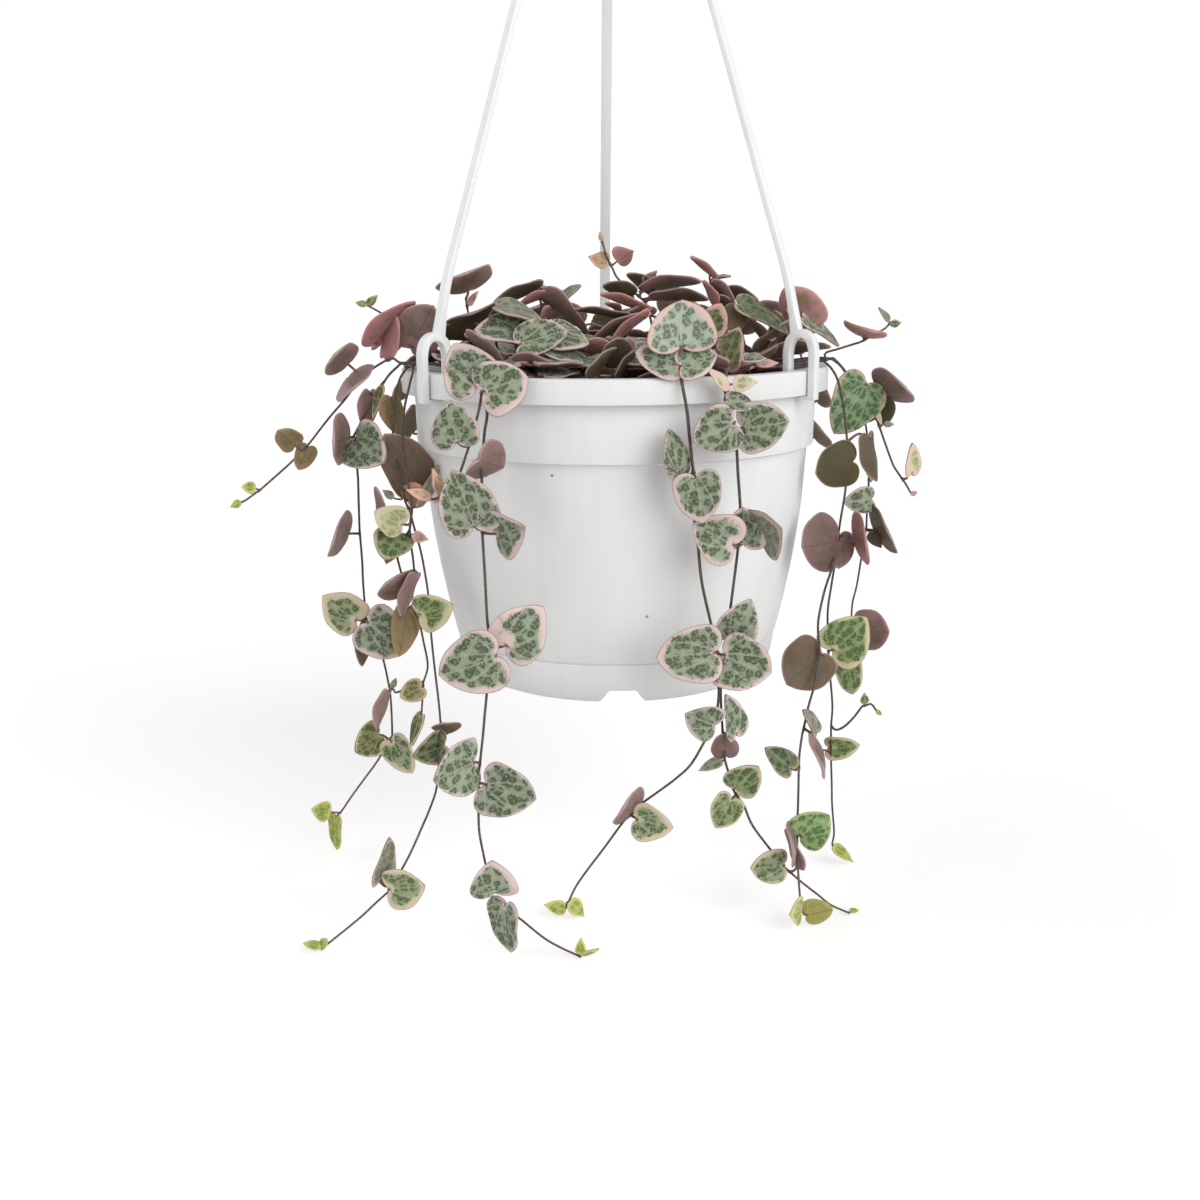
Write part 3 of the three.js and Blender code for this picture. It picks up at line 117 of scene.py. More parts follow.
def seen_roll(face, way, broad, width):
    """The roll, in whole degrees, at which a leaf of that width looks that broad."""
    def miss(turn):
        angle = math.radians(turn)
        return abs(width * math.cos(angle) + EDGE_SEEN * math.sin(angle) - broad)
    turn = min(range(91), key=miss)
    roll = 180 - turn if face == "under" else turn
    if roll in (0, 180):
        return roll
    to_right = math.cos(math.radians(way))
    roll = min(STEEPEST_ROLL, roll + SEEN_LEANS[face] * abs(to_right))
    return int(-roll if to_right > 0 else roll)


def seen(face, at, way, long, broad, width, look, off=0, sheet=-40):
    """The row of a leaf that is given as it is seen."""
    view = SHEET_VIEWS[sheet]
    scale = (view["across"] + view["up"]) / 2
    x = round((at[0] - view["middle"][0]) / view["across"], 1)
    z = round((view["middle"][1] - at[1]) / view["up"], 1)
    roll = seen_roll(face, way, broad / scale, width)
    return (x, z, off, way, round(long / scale, 1), width, 0, roll, look)


def polar(degrees, radius, z):
    angle = math.radians(degrees)
    return Vector((math.cos(angle) * radius, math.sin(angle) * radius, z))


def over_rim(angle, root_angle, root_radius):
    """The stretch of a vine from its root, up over the soil and across the rim."""
    root = polar(root_angle, root_radius, SOIL_TOP)
    return [
        Vector((root.x, root.y, SOIL_TOP - ROOT_DEPTH)), Vector((root.x, root.y, SOIL_TOP + 1.6)),
        polar((root_angle + angle) / 2, (root_radius + 62) / 2, 0.4), polar(angle, 64, 2.2),
        polar(angle, 70.4, 2),
    ]


def over_soil(x, y):
    return [Vector((x, y, SOIL_TOP - ROOT_DEPTH)), Vector((x, y, SOIL_TOP + 1.2))]


# Rows of a stem: x, z and depth on a sheet.  Rows of leaves: x and z of the leaf's base, how far it
# stands off its stem (less is nearer the front), the way it points, its length and width, how far
# its tip turns forward, its roll (180 shows its underside to the front), and its look.
VINES = [
    {
        "name": "vine_front_left",
        "start": over_rim(237.5, 235, 46),
        "stem": on_sheet(-63, [
            (-38.9, -1.2, -62.6), (-39.2, -2.8, -63.4), (-37.9, -10, -65), (-38.8, -15.5, -66),
            (-39.5, -22.8, -67), (-40, -30.5, -68), (-40.2, -45.2, -70), (-39.7, -60, -73),
            (-39.4, -71.5, -75), (-38.5, -79.3, -76), (-40.2, -95.7, -78), (-40.9, -101.5, -79),
            (-41.6, -108, -80),
        ]) + on_sheet(-70, [
            (-42.5, -117.3, -81), (-43, -133, -82), (-42.5, -139.5, -83), (-39.3, -157.8, -84),
            (-36.5, -160.5, -85), (-31, -165, -86), (-23.7, -171.5, -88), (-18.1, -175, -88),
            (-12.5, -177.8, -88),
        ]),
        "branches": [
            on_sheet(-63, [
                (-39.2, -2.8, -63.4), (-40.3, -9, -66.5), (-43, -18, -68), (-44, -21, -68.5),
                (-47.7, -30.5, -69), (-51.3, -35, -69), (-55, -35, -69),
            ]),
        ],
        "leaves": on_sheet(-63, [
            (-40.6, -1.7, -3.5, 120, 13.5, 16.5, 10, 0, "marbled_pink"),
            (-38.4, -3.4, -4, 22, 13, 16.5, 8, 0, "marbled_pink"),
            (-42.6, -43, -3.8, 105, 17.5, 18, 10, 0, "marbled"),
            (-35.6, -45.5, -1, 22, 14, 16, 56, 0, "marbled_pink"),
            (-33.6, -79.5, -1, 42, 16.2, 17.5, 8, 0, "wide_pink"),
            (-37.4, -83, -3.5, 203, 17.7, 20, 8, 0, "marbled_pink"),
            (-46.9, -18.1, -1.5, 100, 12.5, 14.4, 15, 0, "marbled"),
            (-40.6, -23.2, -3.5, -35, 12, 14.5, -60, 180, "mauve"),
            (-52.5, -33.6, -1, 100, 8, 4.4, 0, 50, "pink_tip"),
            (-55, -35, 0, 155, 8, 4, 0, 40, "pink_tip"),
            (-54.5, -35.6, 0, 20, 6.5, 3.4, 0, -60, "pink_tip"),
        ]) + on_sheet(-70, [
            (-44.5, -114.3, -1.5, 185, 15, 17.5, 50, 0, "marbled"),
            (-40, -121.3, -3, -22, 15.2, 18, 8, 0, "marbled"),
            (-38.6, -156, -1.5, 97, 12, 15, 20, 0, "one_side_pink"),
            (-35.3, -161.2, -1.5, -93, 15.8, 14, 0, 45, "marbled"),
            (-12.5, -177, -0.8, 90, 5.4, 3.6, 0, 0, "lime"),
            (-12.5, -178.2, -0.6, 8, 6, 3.2, 0, 40, "lime"),
        ]),
    },
    {
        "name": "vine_front_right_left",
        "start": over_rim(284.5, 288, 46),
        "stem": on_sheet(-67, [
            (18.2, 1.2, -67.6), (18.6, -1.5, -70), (20.1, -9.5, -71), (20.8, -16.5, -71),
            (22.2, -28.8, -71), (22.5, -42.3, -71), (23.4, -48, -71), (24.7, -60, -72),
            (27.8, -74, -73), (28.9, -81, -74), (30, -92, -74), (29.6, -99, -74),
        ]) + on_sheet(-75, [
            (27, -103, -74), (21.7, -113, -73), (17.2, -117.7, -72), (12, -121.8, -71),
            (6, -126.2, -70), (0.7, -132, -68), (-4.9, -140, -66), (-10, -147, -64),
            (-13.5, -152.3, -62), (-16.4, -158.5, -60),
        ]),
        "leaves": on_sheet(-67, [
            (18.4, 9.2, -4.5, 94, 12.8, 20, 0, 0, "pale_marble"),
            (17.8, 4, -1.2, 165, 13, 11.5, 0, 20, "marbled_pink"),
            (18.8, 3.6, -1.2, 18, 10.4, 10.5, 0, -22, "marbled_pink"),
            (17.4, -27, -1, 99, 12.6, 11, 0, 45, "marbled"),
            (22.7, -28.9, -3, -80, 13.2, 14.5, 12, 0, "marbled_pink"),
            (28.2, -81.3, -4, 182, 17, 18.2, 6, 0, "marbled_pink"),
            (31.8, -82.3, -3, -26, 14.6, 18, 10, 0, "marbled_pink"),
            (28.6, -103.9, -1, 150, 10, 12, 20, 0, "marbled"),
        ]) + on_sheet(-75, [
            (4.5, -127.6, 1.5, 145, 11, 14, 58, 180, "mauve"),
            (5.4, -130.8, -3, -8, 10.8, 12.2, 16, 0, "marbled_cream"),
            (-16.6, -160, -0.5, 165, 7, 5, 0, 40, "lime"),
            (-15.6, -159.8, -0.3, -45, 7, 5.6, 0, -30, "lime"),
        ]),
    },
    {
        "name": "vine_front_right",
        "start": over_rim(296.5, 302, 45),
        "stem": on_sheet(-67, [
            (31, -1, -66.6), (31.5, -8, -68.5), (33.4, -13, -69), (34.6, -21.3, -69),
            (35, -27.5, -69), (35.8, -38, -69), (35.4, -48.6, -69), (34.6, -56, -69.5),
            (33.4, -66.3, -70), (32, -77, -70.5), (30.6, -92, -70), (31.2, -105, -69),
            (32, -115, -68),
        ]) + on_sheet(-75, [
            (34.2, -122.3, -67), (37.3, -127, -66), (39.5, -132.5, -65), (43.2, -138, -64),
            (50.1, -147, -62), (55, -151.5, -61), (60.1, -155.7, -60), (64, -159, -59),
            (69.9, -161.8, -58),
        ]),
        "leaves": on_sheet(-67, [
            (31.8, -3.6, -3, 128, 9.4, 5, 0, 45, "cream_pink"),
            (33.2, -1.8, -3, 5, 7.2, 6.2, 10, -30, "cream_pink"),
            (32, -6.5, -3, -8, 7.6, 6.4, 10, -30, "marbled"),
            (33, -13.3, -3.5, 207, 12, 14.5, 12, 0, "marbled"),
            (36.6, -14.3, -2, 4, 13, 15.4, 12, 0, "marbled"),
            (33.6, -48.5, -3, 151, 13, 15.8, 8, 0, "marbled_pink"),
            (36.7, -48.4, 0.5, 88, 11, 13.5, 12, 0, "marbled_pink"),
            (42.1, -45.3, 0, 25, 13, 17.3, 72, 0, "grey"),
            (33.5, -76.8, -2.5, 60, 13, 12.6, 10, 0, "marbled"),
            (35.1, -106.5, -1, 95, 12.2, 11.6, 0, 52, "one_side_pink"),
            (32.3, -113.4, 1, 95, 8.6, 8.6, 20, 180, "mauve"),
            (31.4, -115.4, 0.5, 200, 8, 4.6, 0, 50, "grey"),
        ]) + on_sheet(-75, [
            (34.8, -121, -2.5, 50, 9.4, 11.2, 10, 0, "green"),
            (33.4, -124.9, -1.5, 238, 9.8, 10, 10, 0, "green"),
            (49, -146, -2, 180, 9.8, 11.4, 14, 0, "marbled_cream"),
            (53.8, -145.5, 0.5, 105, 12, 8, 0, 112, "mauve"),
            (69.9, -161.8, 0, -10, 3, 2, 0, 0, "lime"),
        ]),
    },
    {
        "name": "vine_left_far",
        "start": over_rim(192, 190, 47),
        "stem": on_sheet(-15, [
            (-71, 3.4, -14.8), (-74.1, 2.5, -15), (-79.6, -0.9, -15), (-83.5, -4.7, -15),
            (-87.3, -9.6, -15), (-92.7, -15.5, -15), (-99.5, -23.7, -15), (-106.3, -30.3, -15),
            (-112.2, -35.3, -15), (-115.9, -38.4, -15), (-121.1, -42, -15), (-123, -42.9, -15),
        ]),
        "leaves": on_sheet(-15, [
            (-86.3, 2.2, 0.5, 135, 12, 13.9, 70, 180, "mauve"),
            (-85.2, -2.7, 2.5, -46, 12, 16.5, 66, 180, "mauve"),
            (-104.3, -24, 0, 128, 7.6, 8.6, 24, 180, "fawn"),
            (-100, -25, 1, -112, 8, 7, 20, 180, "fawn"),
            (-117.6, -38, 0, 175, 4.8, 4.6, 10, 0, "lime"),
            (-122.7, -42.7, 0, 200, 4.2, 3, 0, 20, "lime"),
        ]),
    },
    {
        "name": "vine_left_outer",
        "start": over_rim(195.5, 197, 42),
        "stem": on_sheet(-17, [
            (-69.5, 1, -18.4), (-72, -1.2, -18.6), (-75.5, -5.6, -19), (-78, -9.7, -19),
            (-80.9, -14.6, -19), (-83.6, -19.5, -19), (-84.8, -21.5, -19), (-84.2, -28, -18.6),
            (-83.8, -34.5, -18), (-83.9, -42, -18), (-84, -51.8, -17), (-83.6, -62.3, -16),
            (-83.6, -69.3, -15), (-83.2, -81.3, -14), (-78.5, -93.7, -13), (-76.7, -103, -12),
            (-76, -110, -12), (-76, -121.8, -11), (-81.2, -131, -10), (-86, -137.5, -9),
            (-90.3, -143.3, -8), (-94.6, -149.5, -7),
        ]),
        "leaves": on_sheet(-17, [
            (-86.6, -21.6, 0, 180, 14, 16.8, 73, 180, "mauve"),
            (-83.5, -22, -3, -38, 15.5, 16.5, 44, 0, "marbled"),
            (-79, -8, 3, -100, 13, 9, 0, 120, "mauve"),
            (-74.5, -5, -2, 250, 12, 5, 0, 50, "olive"),
            (-88.3, -53.1, 0, 159, 13, 16.5, 74, 180, "mauve"),
            (-86.6, -82, -1, 140, 13.4, 14.8, 10, 0, "marbled_cream"),
            (-82.2, -83.2, -3.5, -38, 15.2, 18, 10, 0, "marbled_pink"),
            (-82.5, -84, 2.5, -103, 14, 9, 0, 130, "brown"),
            (-80.8, -122, -0.5, 200, 11, 12, 58, 0, "olive"),
            (-76.1, -124.5, -2.5, -58, 12.6, 10.6, 12, 0, "marbled_cream"),
            (-98, -149.4, -0.5, 165, 6.8, 8.4, 10, 0, "lime"),
            (-96.2, -152, -0.5, -94, 11.4, 8, 0, 45, "lime"),
        ]),
    },
    {
        "name": "vine_left_middle",
        "start": over_rim(199, 204, 49),
        "stem": on_sheet(-17, [
            (-66.6, 0.6, -25.6), (-68.8, -2.5, -26), (-70.5, -7.3, -26), (-71.4, -14, -26),
            (-71.9, -21, -26.5), (-71.5, -25.4, -27), (-70.9, -29.5, -27.5), (-70.1, -34.4, -28),
            (-68.5, -43.2, -29), (-67.4, -45.5, -30), (-66.1, -51.2, -31), (-64.5, -57.8, -32),
            (-63.5, -63.4, -34), (-62.3, -72.9, -37), (-61.7, -87.7, -42), (-61, -98, -46),
            (-60, -110, -50), (-59.5, -119, -53), (-60.2, -128, -56), (-61.5, -140.3, -62),
            (-63.7, -147.3, -66), (-67, -155, -70), (-71.9, -165.6, -76),
        ]) + on_sheet(-70, [
            (-70.8, -155.2, -79), (-75, -159, -80), (-80, -163.8, -81), (-85.2, -168.2, -82),
            (-92.5, -174.2, -83),
        ]),
        "leaves": on_sheet(-17, [
            (-72, -9.5, 3, -86, 11.5, 10, 0, 130, "fawn"),
            (-63.8, -37.3, 3.5, 117, 20.5, 17, 8, 180, "umber"),
            (-63.6, -42.6, -1, 57, 13, 7, 0, 62, "grey"),
            (-67.4, -42, 3, 38, 9, 9, 30, 180, "pink_tip"),
            (-72.6, -41.5, 0, 140, 4.5, 3, 0, 30, "grey"),
            (-64.8, -80.2, -3, 20, 11, 13.4, 10, 0, "cream_green"),
            (-59, -125.8, 3, 190, 12, 12, 46, 0, "dark"),
            (-57, -121.4, 4, 98, 8, 11, 42, 180, "brown"),
        ]) + on_sheet(-70, [
            (-74, -151.6, 0.5, 72, 13.6, 9.4, 0, 56, "grey"),
            (-70.6, -154.6, -2, 12, 11, 14.2, 12, 0, "marbled_cream"),
            (-92.9, -173.8, -0.4, 168, 6, 3.4, 0, 40, "lime"),
            (-91.4, -174, -0.7, -114, 4.6, 3.2, 0, 25, "lime"),
        ]),
    },
    {
        "name": "vine_left_inner",
        "start": over_rim(202.5, 210, 41),
        "stem": on_sheet(-17, [
            (-64.6, 0.4, -32), (-66, -5, -32), (-68, -13, -33), (-68.8, -22, -33.5),
            (-68, -33, -34), (-66.6, -44, -34.5), (-67.6, -52, -33.5), (-67.5, -56, -31),
            (-66.9, -61, -27.5), (-66.5, -67.5, -24), (-67.5, -74, -22), (-67, -80, -22),
            (-65.5, -83, -22), (-64.3, -90, -22), (-63.3, -96, -22), (-63.4, -99.5, -22),
            (-64.8, -103.5, -22), (-65.3, -109, -22), (-66, -116, -22),
        ]),
        "branches": [
            on_sheet(-17, [
                (-67.6, -52, -33.5), (-70.4, -56, -28), (-72, -60.5, -23), (-71.2, -65, -20),
                (-69.8, -70.5, -19),
            ]),
            on_sheet(-17, [
                (-64.8, -103.5, -22), (-70, -105.5, -21), (-74, -107.3, -20), (-75.6, -105.4, -20),
            ]),
        ],
        "leaves": on_sheet(-17, [
            (-70.4, -50, -1.5, 150, 9.6, 11, 24, 0, "cream"),
            (-76.3, -51.5, 2, 92, 14, 8, 0, 125, "mauve"),
            (-72, -53.5, -2, -112, 12, 13.4, 62, 0, "green"),
            (-73.4, -56.4, 2, -110, 7.4, 6, 20, 180, "fawn"),
            (-66.6, -53.6, -2.5, -20, 5.4, 4.4, 10, 0, "pink"),
            (-69.5, -72, -1.5, 130, 13, 15, 56, 180, "mauve"),
            (-66.6, -68, -2, 243, 13.4, 8.6, 0, 120, "mauve"),
            (-69.4, -79, 3, -97, 15.5, 9.6, 16, 180, "fawn"),
            (-65.8, -105.5, -1, 205, 7.6, 8, 14, 0, "fawn"),
            (-66, -116, 0, -112, 11, 5.6, 0, 50, "olive"),
            (-77.2, -107.6, 0, 247, 12.6, 7, 0, 120, "mauve"),
            (-75.6, -105.4, 0.2, 62, 3.6, 2.4, 0, 20, "green"),
        ]),
    },
    {
        "name": "vine_right_inner",
        "start": over_rim(344, 338, 44),
        "stem": on_sheet(-15, [
            (66.9, 1.6, -21), (69.4, -0.8, -20), (71.8, -5.2, -20), (74, -15, -20.5),
            (75.4, -26, -21), (75.4, -33.5, -21), (75, -41, -22), (73.7, -50.3, -23),
            (73, -56.3, -24), (72.6, -62, -24), (71.2, -72.7, -24), (70.4, -79, -24),
            (70.3, -84, -24), (70.8, -93, -24), (71, -98, -24),
        ]) + on_sheet(-30, [
            (70.2, -108.5, -23), (70, -116, -22), (70.2, -126.5, -21), (70.7, -136, -20),
            (71, -143.3, -19), (71.9, -152.8, -18), (71.4, -157.5, -18),
        ]),
        "branches": [
            on_sheet(-15, [
                (73, -56.3, -24), (72, -62, -26.5), (71.1, -67, -28), (69.3, -73, -29),
                (67.9, -79.5, -31), (67.2, -84.5, -33), (67.3, -89, -35), (67.8, -92.5, -37),
            ]) + on_sheet(-30, [
                (65.6, -93, -38), (64, -103, -42), (62.5, -109, -45), (60.5, -119.5, -50),
                (59.8, -126, -53), (59.7, -131.5, -55), (59.7, -143, -58), (59.5, -153, -61),
                (60, -163, -64), (60.5, -170.7, -66), (61.3, -178.5, -67), (62.5, -182.5, -68),
            ]),
            on_sheet(-30, [
                (70, -116, -22), (71.5, -117.5, -22), (74, -116.6, -22), (77, -113.7, -22),
                (80, -109.5, -22), (83, -108.7, -22), (84.7, -111, -22),
            ]),
        ],
        "leaves": on_sheet(-15, [
            (77, -31, -1.5, 190, 13.8, 15.4, 14, 180, "olive"),
            (82.2, -23.5, 1, -84, 14, 11, 0, 130, "brown"),
            (72.2, -57, -2, 190, 14, 20, 26, 180, "deep_mauve"),
            (73.4, -55.6, 1.5, -90, 11, 10.5, 20, 180, "mauve"),
            (79, -56.5, 0, 12, 13, 18, 77, 180, "pink"),
            (72.5, -94, -2, 42, 15.4, 18, 10, 0, "cream_green"),
            (68, -95.5, 2, 222, 15.6, 19.2, 14, 180, "brown"),
        ]) + on_sheet(-30, [
            (64.9, -117.9, 0, 113, 8.6, 8, 0, 62, "grey"),
            (80.7, -108.6, 0, 95, 4, 3.2, 20, 0, "green"),
            (69.6, -123.5, 1, 6, 10, 8.6, 20, 0, "cream_green"),
            (56.8, -130.6, -1, 135, 11.6, 8.8, 10, 20, "dark"),
            (66.8, -124.6, 0, 201, 12, 16, 76, 180, "mauve"),
            (60.8, -154, -2, 40, 11.6, 14.4, 12, 0, "green_veined"),
            (58.9, -156, -1, 190, 12, 15.6, 74, 180, "mauve"),
            (71.5, -158.5, 0, -35, 9.4, 5.2, 0, -45, "lime"),
            (61.7, -180.3, -0.5, 176, 7, 11.6, 52, 0, "pale_lime"),
            (63.8, -183, -0.5, 18, 8.8, 9.4, 10, 180, "lime"),
            (84.7, -111, 0, -40, 2.6, 1.8, 0, 0, "lime"),
        ]),
    },
    {
        "name": "vine_right_outer",
        "start": over_rim(348, 346, 40),
        "stem": on_sheet(-15, [
            (69.6, 2, -14.6), (73, -0.8, -13), (77, -7.6, -12), (80.5, -16, -11), (82, -25, -10.5),
            (82.7, -35.5, -10), (82.3, -46.2, -10), (82.3, -52.5, -10), (81.2, -60.7, -10),
            (80.5, -66.3, -10), (79.6, -72.8, -11), (78.4, -78.5, -13), (78.2, -86, -15),
            (77.2, -92, -17),
        ]),
        "leaves": on_sheet(-15, [
            (84.6, -16.6, 3, 60, 8.6, 9.6, 20, 180, "olive"),
            (83.8, -37.4, 1, 112, 6, 3.6, 0, 55, "brown"),
            (83.4, -43.4, -2.5, 184, 9.4, 9, 20, 0, "marbled"),
            (85.7, -53.8, 1, 26, 12, 19, 76, 180, "brown"),
            (83.6, -54.2, -1, -55, 6.6, 5, 10, 180, "brown"),
            (80.6, -88, 2.5, 5, 11, 14.6, 26, 180, "mauve"),
            (77.3, -98.7, -2, -78, 11, 9.4, 10, 0, "green"),
        ]),
    },
    {
        "name": "vine_right_side",
        "start": over_rim(351.5, 354, 46),
        "stem": on_sheet(-15, [
            (70, 2.4, -10.4), (73.8, -1.6, -10.3), (76.4, -6.2, -10), (78.3, -11.3, -9.8),
            (82.2, -14.4, -11), (84.8, -18, -12.5), (86, -21, -14), (87.9, -26, -15),
            (90.3, -32, -16), (91.9, -34.6, -16), (94.6, -38.3, -16), (96.6, -41.7, -16),
        ]),
        "leaves": on_sheet(-15, [
            (80.5, -6.4, -3, 237, 18, 17, 12, 0, "bright"),
            (81.9, -12.4, 0.5, 110, 11, 7, 0, 55, "pink"),
            (87.4, -8.8, 0, 49, 13, 16.4, 66, 180, "mauve"),
            (83.2, -12.6, -1, -65, 8, 4, 0, -50, "cream"),
            (87, -19, 0, 0, 3.4, 2.4, 0, -30, "grey"),
            (96.3, -34.7, 0, 88, 9.6, 7, 10, 35, "cream_pink"),
            (96.4, -41.7, 0, 5, 2.4, 2.2, 0, 20, "pink"),
        ]),
    },
    {
        "name": "shoot_right_pink",
        "start": over_rim(340, 330, 36),
        "stem": on_sheet(-15, [
            (67.3, 3.9, -25), (71.7, 5.3, -22), (77, 6.9, -19), (78.5, 7.3, -18), (82.5, 9.5, -17),
            (86.5, 11.7, -16), (87.8, 13.2, -16),
        ]),
        "leaves": on_sheet(-15, [
            (79, 9.8, 0, 70, 11, 14.6, 77, 180, "pink"),
            (87.6, 13.8, 0, 125, 5.6, 3.2, 0, 45, "grey"),
            (87.9, 13, 0, 8, 3.8, 3, 0, 20, "brown"),
        ]),
    },
]

